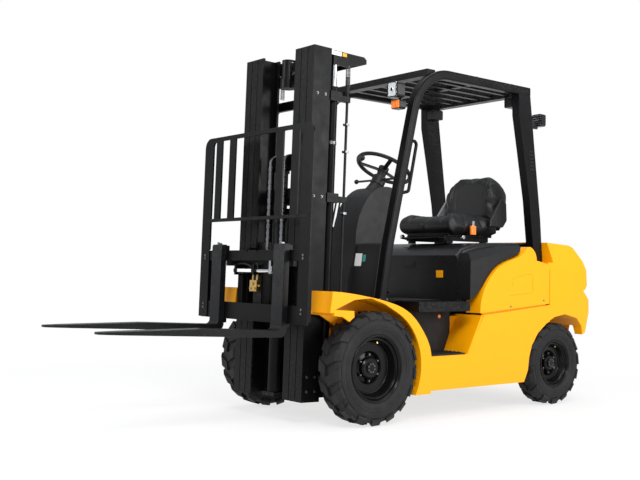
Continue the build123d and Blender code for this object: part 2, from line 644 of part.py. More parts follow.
def engine():
    """Engine, torque converter and gearbox as plain masses at their real place."""
    front = HOOD_FRONT_Y + HOOD_WALL + 12
    block = rounded(box(-190, 190, front, 1250, 380, 820), Axis.Y, 30)
    head = box(-120, 120, front + 40, 1210, 810, 900)
    bell = rod_y(0, 600, front + 1, 480, 150)
    box_case = box(-150, 150, 330, 610, 350, 590)
    sump = box(-120, 120, 860, 1180, 300, 385)
    fan = rod_y(0, 1249, 1360, 700, 60) + rod_y(0, 1360, 1390, 700, 190)
    mounts = both_sides(box(180, RAIL_X, 900, 980, 420, 470))
    return block + head + bell + box_case + sump + fan + mounts


# Dash, steering and driver's controls

def dash_cowl():
    """Front cowl: raked nose, lower panel and the top that holds the column."""
    outline = [Line((120, FLOOR_Z + SEAT_GAP), (215, 1040)),
               Spline((215, 1040), (262, 1260), (380, 1390), (520, 1410)),
               Spline((520, 1410), (592, 1372), (598, 1320), (540, 1180), (478, 1060)),
               Line((478, 1060), (400, 940)), Line((400, 940), (330, FLOOR_Z + SEAT_GAP)),
               Line((330, FLOOR_Z + SEAT_GAP), (120, FLOOR_Z + SEAT_GAP))]
    tower = side_solid(outline, -112, 112)
    tower = tower & extrude(Pos(0, 360, 0) * RectangleRounded(224, 490, 70), 1500)
    tower = tower & extrude(Plane.XZ * Pos(0, 1080) * RectangleRounded(224, 780, 60), -700)
    panel = side_plate([(168, FLOOR_Z + SEAT_GAP), (222, 1040), (300, 1050), (300, 1000),
                        (262, FLOOR_Z + SEAT_GAP)], -RAIL_X + 6, RAIL_X - 6)
    panel -= side_plate([(200, FLOOR_Z - 1), (236, 1020), (400, 1020), (400, FLOOR_Z - 1)],
                        -RAIL_X + 20, -112)
    panel -= side_plate([(200, FLOOR_Z - 1), (236, 1020), (400, 1020), (400, FLOOR_Z - 1)],
                        112, RAIL_X - 20)
    return tower + panel


def steering_axis(shape):
    """Place a piece drawn about +Z on the steering wheel's raked axis."""
    return Pos(0, STEER_Y, STEER_Z) * Rot(-STEER_LEAN, 0, 0) * shape


def knob(r):
    """Turned hand knob, centred on the origin."""
    half = [(0, -r), (0.55 * r, -0.9 * r), (r, -0.35 * r), (r, 0.35 * r), (0.6 * r, 0.9 * r), (0, r)]
    return revolve(Plane.XZ * make_face(Polyline(*half, close=True)), Axis.Z)


def steering_column():
    """Raked column with its gaiter and the direction and lamp levers."""
    column = steering_axis(rod_z(0, 0, -190, -30 - SEAT_GAP, 30) + rod_z(0, 0, -130, -70, 46))
    gaiter = steering_axis(Pos(0, 0, -165) * Cone(64, 46, 60))
    stalk = steering_axis(rod_x(-205, 205, -10, -95, 7))
    knobs = steering_axis(both_sides(Pos(205, -10, -95) * knob(15)))
    return column + gaiter + stalk + knobs - dash_cowl()


def steering_wheel():
    """Three-spoke wheel with hub and spinner knob."""
    ring = revolve(Plane.XZ * Pos(STEER_R, 0) * RegularPolygon(13, 8), Axis.Z)
    hub = rod_z(0, 0, -30, 6, 34)
    spokes = [Rot(0, 0, a) * Pos(STEER_R / 2, 0, -8) * Rot(0, -6, 0) * Box(STEER_R, 26, 10)
              for a in (90, 210, 330)]
    spinner = rod_z(-STEER_R * 0.88, -STEER_R * 0.46, 0, 34, 9)
    spinner += Pos(-STEER_R * 0.88, -STEER_R * 0.46, 44) * knob(20)
    return steering_axis(ring.fuse(hub, spinner, *spokes))


def control_levers():
    """Four hydraulic levers on the cowl's right, with their gated console."""
    x0 = -RAIL_X + 30
    console = box(x0 - 16, x0 + 150, 236, 330, 1050 + SEAT_GAP, 1130)
    console = rounded(console, Axis.Z, 12)
    sticks = []
    for i in range(4):
        x = x0 + 10 + 38 * i
        stick = Pos(x, 290, 1120) * Rot(-12, 0, 0) * rod_z(0, 0, 0, 210, 6)
        sticks += [stick, Pos(x, 290, 1120) * Rot(-12, 0, 0) * Pos(0, 0, 222) * knob(17)]
    return console.fuse(*sticks)


def pedals():
    """Inching, brake and accelerator pedals on their arms."""
    plates = []
    for x, w in ((150, 70), (-190, 90), (230, 60)):
        arm = side_plate([(262, FLOOR_Z + 190), (300, FLOOR_Z + 190), (352, FLOOR_Z + 70),
                          (336, FLOOR_Z + 62)], x - 6, x + 6)
        pad = Pos(x, 352, FLOOR_Z + 66) * Rot(-40, 0, 0) * Box(w, 60, 10)
        plates += [arm, pad]
    near, far = 112 + SEAT_GAP, RAIL_X - 20 - SEAT_GAP
    shaft = rod_x(-far, -near, 290, FLOOR_Z + 180, 9)
    shaft2 = rod_x(near, far, 290, FLOOR_Z + 180, 9)
    left = shaft2.fuse(*[p for p in plates if p.center().X > 0])
    right = shaft.fuse(*[p for p in plates if p.center().X < 0])
    return Compound([left, right])


# Seat

def seat_base():
    """Seat slide and suspension box with the bent adjusting bar."""
    z = HOOD_TOP_Z + 6
    rails = both_sides(box(150, 176, 940, 1380, z + 6, z + 40))
    pan = box(-190, 190, 960, 1400, z + 38, z + 62)
    feet = both_sides(box(145, 181, 960, 1000, z - 20, z + 8)
                      + box(145, 181, 1320, 1360, z - 20, z + 8))
    feet -= side_plate([(900, 900), (900, HOOD_TOP_Z - 7), (1000, HOOD_TOP_Z - 5 + SEAT_GAP),
                        (HOOD_REAR_Y, HOOD_TOP_Z + 12 + SEAT_GAP), (HOOD_REAR_Y, 900)], -300, 300)
    path = FilletPolyline((-176, 935, z + 24), (-176, 895, z + 24), (176, 895, z + 24),
                          (176, 935, z + 24), radius=20)
    bar = sweep(Plane(origin=(-176, 935, z + 24), z_dir=(0, -1, 0)) * Circle(7), path=path)
    bosses = both_sides(box(168, 184, 930, 945, z + 14, z + 34))
    return pan + rails + feet + bar + bosses


def seat_cushion():
    z = HOOD_TOP_Z + 68 + SEAT_GAP
    end = SEAT_END_Y
    outline = [Line((end, z), (960, z)),
               ThreePointArc((960, z), (912, z + 58), (980, z + 98)),
               Line((980, z + 98), (end - 50, z + 82)), Line((end - 50, z + 82), (end, z + 60)),
               Line((end, z + 60), (end, z))]
    cushion = side_solid(outline, -245, 245)
    return cushion


def seat_back():
    z = HOOD_TOP_Z + 70
    front = SEAT_END_Y + SEAT_GAP
    low = z + 59 + SEAT_GAP
    outline = [ThreePointArc((front, z + 2), (1514, z + 200), (1470, 1565)),
               Line((1470, 1565), (1410, 1560)),
               ThreePointArc((1410, 1560), (1388, 1400), (SEAT_END_Y - 44, low + 20)),
               Line((SEAT_END_Y - 44, low + 20), (front, low)), Line((front, low), (front, z + 2))]
    back = side_solid(outline, -245, 245)
    corners = Plane.XZ * make_face([
        Line((-245, z), (245, z)), Line((245, z), (245, 1330)),
        ThreePointArc((245, 1330), (196, 1510), (90, 1574)), Line((90, 1574), (-90, 1574)),
        ThreePointArc((-90, 1574), (-196, 1510), (-245, 1330)), Line((-245, 1330), (-245, z))])
    return back & extrude(Pos(0, 1600, 0) * corners, 300)


# Overhead guard

def guard_line():
    """Centre line of a front pillar and roof rail in side view."""
    mid = GUARD_TOP_Z - GUARD_D / 2 + 8
    return FilletPolyline((131, 704), (180, 1010), (438, mid), (GUARD_REAR_Y, mid + 2),
                          radius=[1500, 300])


def overhead_guard():
    """Pillars, roof rails, cross beams and slats."""
    x = GUARD_OUT_X - GUARD_W / 2
    start = (131, 704)
    line = Plane.YZ.offset(x) * guard_line()
    section = Plane(origin=(x, *start), x_dir=(1, 0, 0), z_dir=line % 0)
    pillar = sweep(section * RectangleRounded(GUARD_W, GUARD_D - 14, 12), path=line)
    z1 = GUARD_TOP_Z
    rear_post = side_plate([(GUARD_REAR_Y - 122, z1 - 40), (GUARD_REAR_Y - 8, z1 - 6),
                            (1522, 1710), (1590, 1245), (1616, 960), (1528, 960),
                            (1472, 1374), (1402, 1710), (1352, 1940)],
                           GUARD_OUT_X - GUARD_W, GUARD_OUT_X)
    foot = box(GUARD_OUT_X - GUARD_W - 2, GUARD_OUT_X + 2, 96, 176, 697, 709)
    side = pillar + rear_post + foot
    front_beam = box(-x, x, GUARD_FRONT_Y, GUARD_FRONT_Y + 70, z1 - 48, z1 - 6)
    rear_beam = box(-x, x, GUARD_REAR_Y - 74, GUARD_REAR_Y - 10, z1 - 56, z1 - 4)
    mid_beam = box(-x, x, 950, 990, z1 - 40, z1 - 14)
    pitch = 2 * x / (SLATS + 1)
    slats = [box(-x + pitch * (i + 1) - 14, -x + pitch * (i + 1) + 14,
                 GUARD_FRONT_Y + 60, GUARD_REAR_Y - 60, z1 - 44, z1 - 8) for i in range(SLATS)]
    return both_sides(side).fuse(front_beam, rear_beam, mid_beam, *slats)


def front_lamps():
    """Work lamps ahead of the front pillars with the turn lamps under them."""
    lamp = Pos(400, 262, 1965) * Box(92, 60, 92)
    lamp = fillet(lamp.edges().filter_by(Axis.Y), 18)
    back = Pos(400, 300, 1965) * Rot(90, 0, 0) * Cone(24, 40, 30)
    turn = Pos(400, 285, 1880) * Box(76, 50, 56)
    turn = fillet(turn.edges().filter_by(Axis.Y), 14)
    arm = box(392, 408, 300, 400, 1895, 1912) + box(392, 408, 296, 312, 1856, 1990)
    return pair(lamp.fuse(back, turn, arm) - guard_clear())


def guard_clear():
    x = GUARD_OUT_X - GUARD_W / 2
    line = Plane.YZ.offset(x) * guard_line()
    section = Plane(origin=(x, 131, 704), x_dir=(1, 0, 0), z_dir=line % 0)
    return sweep(section * Rectangle(GUARD_W + 0.6, GUARD_D - 13.4), path=line)


def rear_lamps():
    """Combination lamps under the roof's rear beam and a work lamp on the left post."""
    z = GUARD_TOP_Z - 56 - SEAT_GAP
    unit = box(330, 392, GUARD_REAR_Y - 120, GUARD_REAR_Y - 20, z - 78, z - 8)
    unit = fillet(unit.edges().filter_by(Axis.X), 10)
    hanger = box(350, 372, GUARD_REAR_Y - 62, GUARD_REAR_Y - 30, z - 10, z)
    work = Pos(GUARD_OUT_X - 29, 1600, 1930) * Box(84, 46, 84)
    work = fillet(work.edges().filter_by(Axis.Y), 14)
    bracket = box(GUARD_OUT_X - 36, GUARD_OUT_X - 22, 1480, 1580, 1868, 1884)
    bracket += box(GUARD_OUT_X - 36, GUARD_OUT_X - 22, 1566, 1580, 1868, 1920)
    both = unit.fuse(hanger)
    return Compound([both, mirror(both, about=Plane.YZ), work.fuse(bracket) - rear_post_clear()])


def rear_post_clear():
    return side_plate([(1352, 1940), (1462, 2130), (1522.3, 1710), (1402, 1710)],
                      GUARD_OUT_X - GUARD_W, GUARD_OUT_X)


def assist_grip():
    """Grab bar behind the left front pillar."""
    x = GUARD_OUT_X - GUARD_W / 2
    path = FilletPolyline((x, 355, 1660), (x, 420, 1676), (x, 352, 1360), (x, 282, 1344), radius=22)
    start = Plane(origin=(x, 355, 1660), z_dir=path % 0)
    return sweep(start * Circle(10), path=path) - guard_clear()


# Mast

def rail_x(level):
    """Outer face of the rail of one stage: 0 outer, 1 middle, 2 inner."""
    return OUTER_X - level * (RAIL_STEP + RAIL_GAP)


def rail(level):
    """Left rail of one stage, a rolled channel or I section."""
    x1 = rail_x(level)
    x0 = x1 - RAIL_STEP
    y0, y1 = MAST_FRONT_Y, RAIL_REAR_Y
    z0, z1 = MAST_FOOT_Z, MAST_TOP_Z
    bar = box(x0, x1, y0, y1, z0, z1)
    if level == 0:
        return bar - box(x0 - 1, x1 - WEB_T, y0 + FLANGE_T, y1 - FLANGE_T, z0 - 1, z1 + 1)
    if level == 2:
        return bar - box(x0 - 1, x1 - WEB_T, y0 + FLANGE_T, y1 - FLANGE_T, z0 - 1, z1 + 1)
    mid = (x0 + x1) / 2
    inside = box(x0 - 1, mid - WEB_T / 2, y0 + FLANGE_T, y1 - FLANGE_T, z0 - 1, z1 + 1)
    outside = box(mid + WEB_T / 2, x1 + 1, y0 + FLANGE_T, y1 - FLANGE_T, z0 - 1, z1 + 1)
    return bar - inside - outside


def outer_tie(z0, z1):
    """Cross member behind the moving stages, on blocks that clamp the lift cylinders."""
    tie = box(-CLAMP_X0 - 1, CLAMP_X0 + 1, OUTER_TIE_Y0, OUTER_TIE_Y0 + TIE_T + 6, z0, z1)
    clamp = box(OUTER_X - RAIL_STEP, CLAMP_X1, RAIL_REAR_Y - 1, LIFT_Y + LIFT_R + 10, z0, z1)
    clamp += box(CLAMP_X0, CLAMP_X1, RAIL_REAR_Y + MOVE_GAP + 1, LIFT_Y + LIFT_R + 10, z0, z1)
    clamp -= rod_z(LIFT_X, LIFT_Y, LIFT_SEAT_Z, MAST_TOP_Z, LIFT_R + SEAT_GAP)
    return tie + both_sides(clamp)


def pivot_bearing():
    """Left bearing that hangs the mast on the axle tube, on the lowest cross member."""
    ring = rod_x(RING_X0, RING_X1, 0, PIVOT_Z, AXLE_TUBE_R + 24)
    back = OUTER_TIE_Y0 + TIE_T
    arm = side_plate([(back, 152), (back, 298), (-60, 400), (20, 405), (20, 245), (-60, 240)],
                     RING_X0, RING_X1)
    return (ring + arm) - rod_x(RING_X0 - 9, RING_X1 + 9, 0, PIVOT_Z, AXLE_TUBE_R + PIN_GAP)


def outer_mast():
    """Outer stage: channels, clamped cross members, pivot bearings, tilt lugs, hose clips."""
    stage = both_sides(rail(0)).fuse(*[outer_tie(z0, z1) for z0, z1 in OUTER_TIES])
    clips = [box(HOSE_X - 14, HOSE_X + 14, LIFT_Y + LIFT_R + 9, HOSE_Y + 13, z + 6, z + 40)
             - rod_z(HOSE_X, HOSE_Y, z, z + 50, HOSE_R + SEAT_GAP)
             for z, _ in OUTER_TIES[1:]]
    return stage + both_sides(pivot_bearing() + tilt_mast_lug()) + clips[0] + clips[1] + clips[2]


def tilt_mast_lug():
    """Clevis on the outer stage that takes the tilt rod's eye."""
    back = OUTER_TIE_Y0 + TIE_T
    ear = side_plate([(back, TILT_Z - 38), (back, TILT_Z + 48), (TILT_EYE_Y + 6, TILT_Z + 24),
                      (TILT_EYE_Y + 24, TILT_Z), (TILT_EYE_Y + 6, TILT_Z - 24)],
                     TILT_X + 20, TILT_X + 36)
    pin = rod_x(TILT_X - 18, TILT_X + 21, TILT_EYE_Y, TILT_Z, TILT_PIN_R)
    return ear + pin


def tilt_points():
    """Rod eye and rear pin of the tilt cylinder at rest."""
    eye = leant(TILT_EYE_Y, TILT_Z)
    return eye, (TILT_REAR_Y, TILT_REAR_Z)


def tilt_frame():
    """Plane at the rear pin with its normal along the cylinder, towards the mast."""
    eye, rear = tilt_points()
    return Plane(origin=(TILT_X, *rear), x_dir=(1, 0, 0),
                 z_dir=(0, eye[0] - rear[0], eye[1] - rear[1]))


def tilt_length():
    eye, rear = tilt_points()
    return ((eye[0] - rear[0]) ** 2 + (eye[1] - rear[1]) ** 2) ** 0.5


def tilt_frame_lug():
    """Clevis on the chassis for the tilt cylinder's rear pin."""
    y, z = TILT_REAR_Y, TILT_REAR_Z
    ear = box(TILT_X + 22, RAIL_X + 2, y - 22, y + 22, z - 26, z + 26)
    pin = rod_x(TILT_X - 20, TILT_X + 24, y, z, TILT_PIN_R)
    return ear + pin


def tilt_barrel():
    length = tilt_length()
    eye = rod_x(-18, 18, 0, 0, 30)
    body = rod_z(0, 0, 46, length - 165, 40) + rod_z(0, 0, length - 182, length - 150, 45)
    barrel = eye + rod_z(0, 0, 15, 50, 22) + body
    barrel -= rod_z(0, 0, 70, length - 140, 18)
    barrel -= rod_x(-30, 30, 0, 0, TILT_PIN_R + PIN_GAP)
    return tilt_frame() * barrel


def tilt_rod():
    length = tilt_length()
    shaft = rod_z(0, 0, length - 330, length - 20, 18 - PIN_GAP)
    eye = rod_x(-13, 13, 0, length, 30)
    rod = shaft + eye - rod_x(-20, 20, 0, length, TILT_PIN_R + 4)
    return tilt_frame() * rod


def lift_barrels():
    """Main lift cylinders behind the outer rails."""
    z0 = LIFT_SEAT_Z + SEAT_GAP
    top = LIFT_TUBE_TOP_Z
    tube = rod_z(LIFT_X, LIFT_Y, z0, top, LIFT_R) + rod_z(LIFT_X, LIFT_Y, top - 29, top, LIFT_R + 3)
    tube -= rod_z(LIFT_X, LIFT_Y, z0 + 60, top + 3, LIFT_ROD_R + PIN_GAP)
    return pair(tube)


def lift_rods():
    foot = LIFT_TUBE_TOP_Z - MAIN_LIFT - ROD_HOLD
    rod = rod_z(LIFT_X, LIFT_Y, foot, TOP_TIE_Z0 - SEAT_GAP, LIFT_ROD_R)
    return pair(rod)


def middle_mast():
    """Middle stage: I rails, cross members and the wedge-shaped top tie."""
    rails = both_sides(rail(1))
    x = rail_x(1) - 14
    y0 = MIDDLE_TIE_Y0
    heights = ((330, 420), (1180, 1240))
    ties = [box(-x, x, y0, y0 + TIE_T, z0, z1) for z0, z1 in heights]
    ties += [box(x - 34, x, RAIL_REAR_Y - 1, y0 + 1, z0, z1) for z0, z1 in heights]
    ties += [box(-x, -x + 34, RAIL_REAR_Y - 1, y0 + 1, z0, z1) for z0, z1 in heights]
    outline = [(y0, TOP_TIE_Z0), (y0, MAST_TOP_Z - 4), (TOP_TIE_REAR_Y - 20, MAST_TOP_Z - 4),
               (TOP_TIE_REAR_Y, MAST_TOP_Z - 18), (TOP_TIE_REAR_Y, MAST_TOP_Z - 44),
               (-120, TOP_TIE_Z0 - 4), (-150, TOP_TIE_Z0)]
    wedge = side_plate(outline, -325, 325)
    hollow = side_plate([(LIFT_Y + LIFT_R + 8, TOP_TIE_Z0 - 20),
                         (LIFT_Y + LIFT_R + 8, MAST_TOP_Z - 16),
                         (TOP_TIE_REAR_Y - 24, MAST_TOP_Z - 16), (TOP_TIE_REAR_Y - 12, MAST_TOP_Z - 46),
                         (TOP_TIE_REAR_Y - 12, TOP_TIE_Z0 - 20)], -315, 315)
    links = both_sides(box(rail_x(1) - RAIL_STEP + 4, rail_x(1) - 4, RAIL_REAR_Y - 1, y0 + 1,
                           TOP_TIE_Z0, MAST_TOP_Z - 4))
    web = rail_x(1) - RAIL_STEP / 2
    roller = rod_x(rail_x(1) + RAIL_GAP + 2, OUTER_X - WEB_T - 2, RAIL_MID_Y, ROLLER_Z, ROLLER_R)
    roller += rod_x(web, rail_x(1) + RAIL_GAP + 3, RAIL_MID_Y, ROLLER_Z, 22)
    return rails.fuse(*ties) + (wedge - hollow) + links + both_sides(roller)


def inner_mast():
    """Inner stage: channels with top, middle and bottom cross members."""
    rails = both_sides(rail(2))
    x = rail_x(2) - 6
    ties = [box(-x, x, INNER_TIE_Y0, INNER_TIE_Y0 + TIE_T, z0, z1)
            for z0, z1 in ((MAST_FOOT_Z + 4, 200), (1300, 1360), (1985, 2050))]
    base = box(-60, 60, FREE_Y - 50, INNER_TIE_Y0 + 1, MAST_FOOT_Z + 4, MAST_FOOT_Z + 26)
    post_y = INNER_TIE_Y0 - 56
    post = rod_z(0, post_y, 1960, 2120, 40)
    collar = rod_z(0, post_y, 1950, 2004, 47)
    stub = box(-34, 34, post_y, INNER_TIE_Y0 + 1, 1990, 2046)
    roller_end = rail_x(1) - RAIL_STEP / 2 - WEB_T / 2 - 2
    roller = rod_x(rail_x(2) + RAIL_GAP + 2, roller_end, RAIL_MID_Y, ROLLER_Z, ROLLER_R)
    roller += rod_x(rail_x(2) - 2, rail_x(2) + RAIL_GAP + 3, RAIL_MID_Y, ROLLER_Z, 22)
    return rails.fuse(*ties) + base + post + collar + stub + both_sides(roller)


def free_lift_barrel():
    z0 = MAST_FOOT_Z + 26 + SEAT_GAP
    tube = rod_z(0, FREE_Y, z0, FREE_TOP_Z, FREE_R)
    tube += rod_z(0, FREE_Y, FREE_TOP_Z - 40, FREE_TOP_Z, FREE_R + 5)
    return tube - rod_z(0, FREE_Y, z0 + 60, FREE_TOP_Z + 5, FREE_ROD_R + PIN_GAP)


def crosshead():
    """Free-lift ram with the yoke and chain sheaves on its end."""
    ram = rod_z(0, FREE_Y, FREE_TOP_Z - FREE_LIFT / 2 - 120, CROSS_Z, FREE_ROD_R)
    yoke = box(-100, 100, FREE_Y - 16, FREE_Y + 16, CROSS_Z - 30, CROSS_Z + 30)
    cap = rod_z(0, FREE_Y, CROSS_Z - 60, CROSS_Z + 42, 38)
    wheels = []
    for x in (SHEAVE_X, -SHEAVE_X):
        wheels.append(rod_x(x - 13, x + 13, FREE_Y, CROSS_Z, SHEAVE_R - 7))
        wheels.append(rod_x(x - 15, x - 11, FREE_Y, CROSS_Z, SHEAVE_R))
        wheels.append(rod_x(x + 11, x + 15, FREE_Y, CROSS_Z, SHEAVE_R))
    return ram.fuse(yoke, cap, *wheels)


def lift_chains():
    """Leaf chains over the crosshead sheaves, down to the carriage and the cylinder."""
    runs = []
    r_in = SHEAVE_R - 7 + SEAT_GAP
    r_out = r_in + CHAIN_T
    for x in (SHEAVE_X, -SHEAVE_X):
        x0, x1 = x - CHAIN_W / 2, x + CHAIN_W / 2
        front = box(x0, x1, FREE_Y - r_out, FREE_Y - r_in, BAR_Z1 - 60, CROSS_Z)
        rear = box(x0, x1, FREE_Y + r_in, FREE_Y + r_out, 1210, CROSS_Z)
        arch = rod_x(x0, x1, FREE_Y, CROSS_Z, r_out) - rod_x(x0 - 1, x1 + 1, FREE_Y, CROSS_Z, r_in)
        arch = arch & box(x0, x1, FREE_Y - 80, FREE_Y + 80, CROSS_Z, CROSS_Z + 80)
        links = []
        for z in range(BAR_Z1 - 50, int(CROSS_Z) - 10, 38):
            links.append(box(x0 - 2.5, x1 + 2.5, FREE_Y - r_out - 1, FREE_Y - r_in - 1, z, z + 22))
        runs.append(front.fuse(rear, arch, *links))
    return Compound(runs)


# Carriage

def lift_carriage():
    """Roller carriage in the inner stage, with the rails that the side shifter hangs on."""
    x = rail_x(2) - WEB_T - 4
    rail_in = rail_x(2) - RAIL_STEP - MOVE_GAP
    cheek = box(rail_in - 22, rail_in, MAST_FRONT_Y + FLANGE_T + 4, RAIL_REAR_Y - 36, BAR_Z0 + 10,
                BAR_Z1 + 60)
    nose = box(rail_in - 22, rail_in, LIFT_FACE_Y + CARRIAGE_PLATE_T - 1, MAST_FRONT_Y + 30, BAR_Z0 + 10,
               BAR_Z1 + 20)
    y = RAIL_MID_Y
    rollers = [rod_x(rail_in - 1, x, y, z, ROLLER_R) for z in (BAR_Z0 + 70, BAR_Z1)]
    side = cheek + nose + rollers[0] + rollers[1]
    half = RAIL_X - 4
    plates = box(-half, half, LIFT_FACE_Y, LIFT_FACE_Y + CARRIAGE_PLATE_T, BAR_Z1 - 90, BAR_Z1 - 4)
    plates += box(-half, half, LIFT_FACE_Y, LIFT_FACE_Y + CARRIAGE_PLATE_T, BAR_Z0 + 10,
                  BAR_Z0 + 90)
    uprights = both_sides(box(150, 200, LIFT_FACE_Y, LIFT_FACE_Y + CARRIAGE_PLATE_T,
                              BAR_Z0 + 12, BAR_Z1 - 10))
    yoke = box(SHEAVE_X - 24, SHEAVE_X + 24, LIFT_FACE_Y + CARRIAGE_PLATE_T - 1, FREE_Y - 36,
               BAR_Z1 - 70, BAR_Z1 - 40)
    yoke -= box(SHEAVE_X - 17, SHEAVE_X + 17, FREE_Y - 58, FREE_Y - 30, 0, MAST_TOP_Z)
    return both_sides(side + yoke) + plates + uprights


def bar_section(upper):
    """Fork bar in side view, with the hook lip that the forks hang on."""
    y0, y1 = CARRIAGE_FACE_Y, CARRIAGE_FACE_Y + BAR_T
    if upper:
        z0, z1 = BAR_Z1 - BAR_TOP_H, BAR_Z1
        return [(y0, z0), (y0, z1), (y0 + 14, z1), (y0 + 14, z1 - HOOK_LIP), (y1, z1 - HOOK_LIP),
                (y1, z0)]
    z0, z1 = BAR_Z0, BAR_Z0 + BAR_LOW_H
    return [(y0, z0), (y0, z1), (y1, z1), (y1, z0 + HOOK_LIP), (y0 + 14, z0 + HOOK_LIP),
            (y0 + 14, z0)]


def shift_carriage():
    """Side-shift frame: upper and lower fork bars joined by end and middle plates."""
    bars = side_plate(bar_section(True), -BAR_HALF, BAR_HALF)
    bars += side_plate(bar_section(False), -BAR_HALF, BAR_HALF)
    y0, y1 = CARRIAGE_FACE_Y + 14, CARRIAGE_FACE_Y + BAR_T
    z0, z1 = BAR_Z0 + HOOK_LIP, BAR_Z1 - HOOK_LIP
    ends = both_sides(box(BAR_HALF - 70, BAR_HALF, y0, y1, z0, z1))
    notches = [box(x - 9, x + 9, CARRIAGE_FACE_Y - 1, CARRIAGE_FACE_Y + 10, BAR_Z1 - 8, BAR_Z1 + 1)
               for x in range(-450, 451, 100)]
    shoe = both_sides(box(200, 300, y1 - 1, LIFT_FACE_Y - SEAT_GAP, BAR_Z1 - 60, BAR_Z1 - 20))
    shoe += both_sides(box(200, 300, y1 - 1, LIFT_FACE_Y - SEAT_GAP, BAR_Z0 + 30, BAR_Z0 + 70))
    return (bars + ends + shoe).cut(*notches)


def shift_cylinder():
    """Side-shift cylinder across the carriage, under the upper bar."""
    end = SHIFT_END_X
    tube = rod_x(end - 2 * SIDE_SHIFT - 22, end, SHIFT_Y, SHIFT_Z, SHIFT_TUBE_R)
    ears = [box(x, x + 14, SHIFT_Y - 20, LIFT_FACE_Y, SHIFT_Z - 26, SHIFT_Z + 34)
            for x in (-180, 4)]
    bore = rod_x(end - 2 * SIDE_SHIFT - 16, end + 1, SHIFT_Y, SHIFT_Z, SHIFT_ROD_R + PIN_GAP)
    return tube.fuse(*ears) - bore


def shift_rod():
    """Side-shift rod with its lug under the upper fork bar."""
    rod = rod_x(SHIFT_END_X - SIDE_SHIFT - 10, SHIFT_LUG_X + 1, SHIFT_Y, SHIFT_Z, SHIFT_ROD_R)
    lug_plate = box(SHIFT_LUG_X, SHIFT_LUG_X + 18, SHIFT_Y - 10, SHIFT_Y + 12, SHIFT_Z - 16,
                    BAR_Z1 - BAR_TOP_H)
    return rod + lug_plate


def fork():
    """Left fork: blade tapered to its tip, heel, shank and the two hooks."""
    y0 = FORK_FACE_Y
    z0 = FORK_BOTTOM_Z
    tip_y, _ = fork_tip()
    t = radians(FORK_RISE)
    length = FORK_LENGTH
    taper = length * 0.45

    def blade(along, up):
        return (y0 - along * cos(t) + up * sin(t), z0 + along * sin(t) + up * cos(t))

    back = y0 + FORK_T
    shank_top = BAR_Z1 + 34
    outline = [Line(blade(length, 0), blade(0, 0)),
               RadiusArc(blade(0, 0), (back, z0 + 46), -44),
               Line((back, z0 + 46), (back, shank_top)), Line((back, shank_top), (y0 + 6, shank_top)),
               Line((y0 + 6, shank_top), (y0, shank_top - 12)),
               Line((y0, shank_top - 12), (y0, z0 + FORK_T + 26)),
               RadiusArc((y0, z0 + FORK_T + 26), blade(28, FORK_T), 27),
               Line(blade(28, FORK_T), blade(taper, FORK_T)),
               Line(blade(taper, FORK_T), blade(length, FORK_TIP_T)),
               Line(blade(length, FORK_TIP_T), blade(length, 0))]
    body = side_solid(outline, FORK_X - FORK_W / 2, FORK_X + FORK_W / 2)
    tip_cut = make_face(Polyline((FORK_X - 80, tip_y + 120), (FORK_X - 50, tip_y + 120),
                                 (FORK_X - 34, tip_y + 30), (FORK_X - 20, tip_y - 1),
                                 (FORK_X - 80, tip_y - 1), close=True))
    corner = extrude(tip_cut, 1500)
    body = body - corner - mirror(corner, about=Plane.YZ.offset(FORK_X))
    x0, x1 = FORK_X - 36, FORK_X + 36
    g = SEAT_GAP
    upper = side_plate([(back - 1, BAR_Z1 + g), (back - 1, BAR_Z1 + 30), (back + 30, BAR_Z1 + 30),
                        (back + 30, BAR_Z1 - 10), (back + 14 + g, BAR_Z1 - 10),
                        (back + 14 + g, BAR_Z1 + g)], x0, x1)
    lower = side_plate([(back - 1, BAR_Z0 - g), (back - 1, BAR_Z0 - 26), (back + 28, BAR_Z0 - 26),
                        (back + 28, BAR_Z0 + 12), (back + 14 + g, BAR_Z0 + 12),
                        (back + 14 + g, BAR_Z0 - g)], x0, x1)
    slot = box(FORK_X - 12, FORK_X + 12, back - 8, back + 40, BAR_Z1 + 30, BAR_Z1 + 60)
    return (body + upper + lower) - slot


def backrest():
    """Load backrest: side plates, rounded top frame, bars and a slim middle rail."""
    y0 = CARRIAGE_FACE_Y - 6
    y1 = y0 + BACKREST_T
    half, top = BACKREST_HALF, BACKREST_TOP_Z
    bottom = BAR_Z0 + 2
    plane = Plane.XZ.offset(-y1)
    outer = make_face(Polyline((-half, bottom), (-half, top), (half, top), (half, bottom), close=True))
    sheet = extrude(plane * outer, BACKREST_T)
    sheet = fillet(sheet.edges().filter_by(Axis.Y).group_by(Axis.Z)[-1], 60)
    inner = box(-half + UPRIGHT_W, half - UPRIGHT_W, y0 - 1, y1 + 1, bottom - 1, top - 26)
    inner = fillet(inner.edges().filter_by(Axis.Y).group_by(Axis.Z)[-1], 30)
    sheet -= inner
    bars = [box(s * x - PANE_BAR_W / 2, s * x + PANE_BAR_W / 2, y0, y1, BACKREST_MID_Z, top - 20)
            for x in PANE_BAR_X for s in (-1, 1)]
    mid = box(-half + 20, half - 20, y0 - 2, y1, BACKREST_MID_Z - 10, BACKREST_MID_Z + 10)
    bars_clear = both_sides(box(BAR_HALF - 90, BAR_HALF + 1, CARRIAGE_FACE_Y - SEAT_GAP,
                                CARRIAGE_FACE_Y + 60, BAR_Z0 - 5, BAR_Z1 + 5))
    return sheet.fuse(mid, *bars) - bars_clear


def mast_hoses():
    """Hydraulic hose down the back of the left rail, with its coiled guard."""
    tube = rod_z(HOSE_X, HOSE_Y, 420, 2000, HOSE_R)
    guard = rod_z(HOSE_X, HOSE_Y, 1912, 2010, HOSE_R + 5)
    return tube + guard


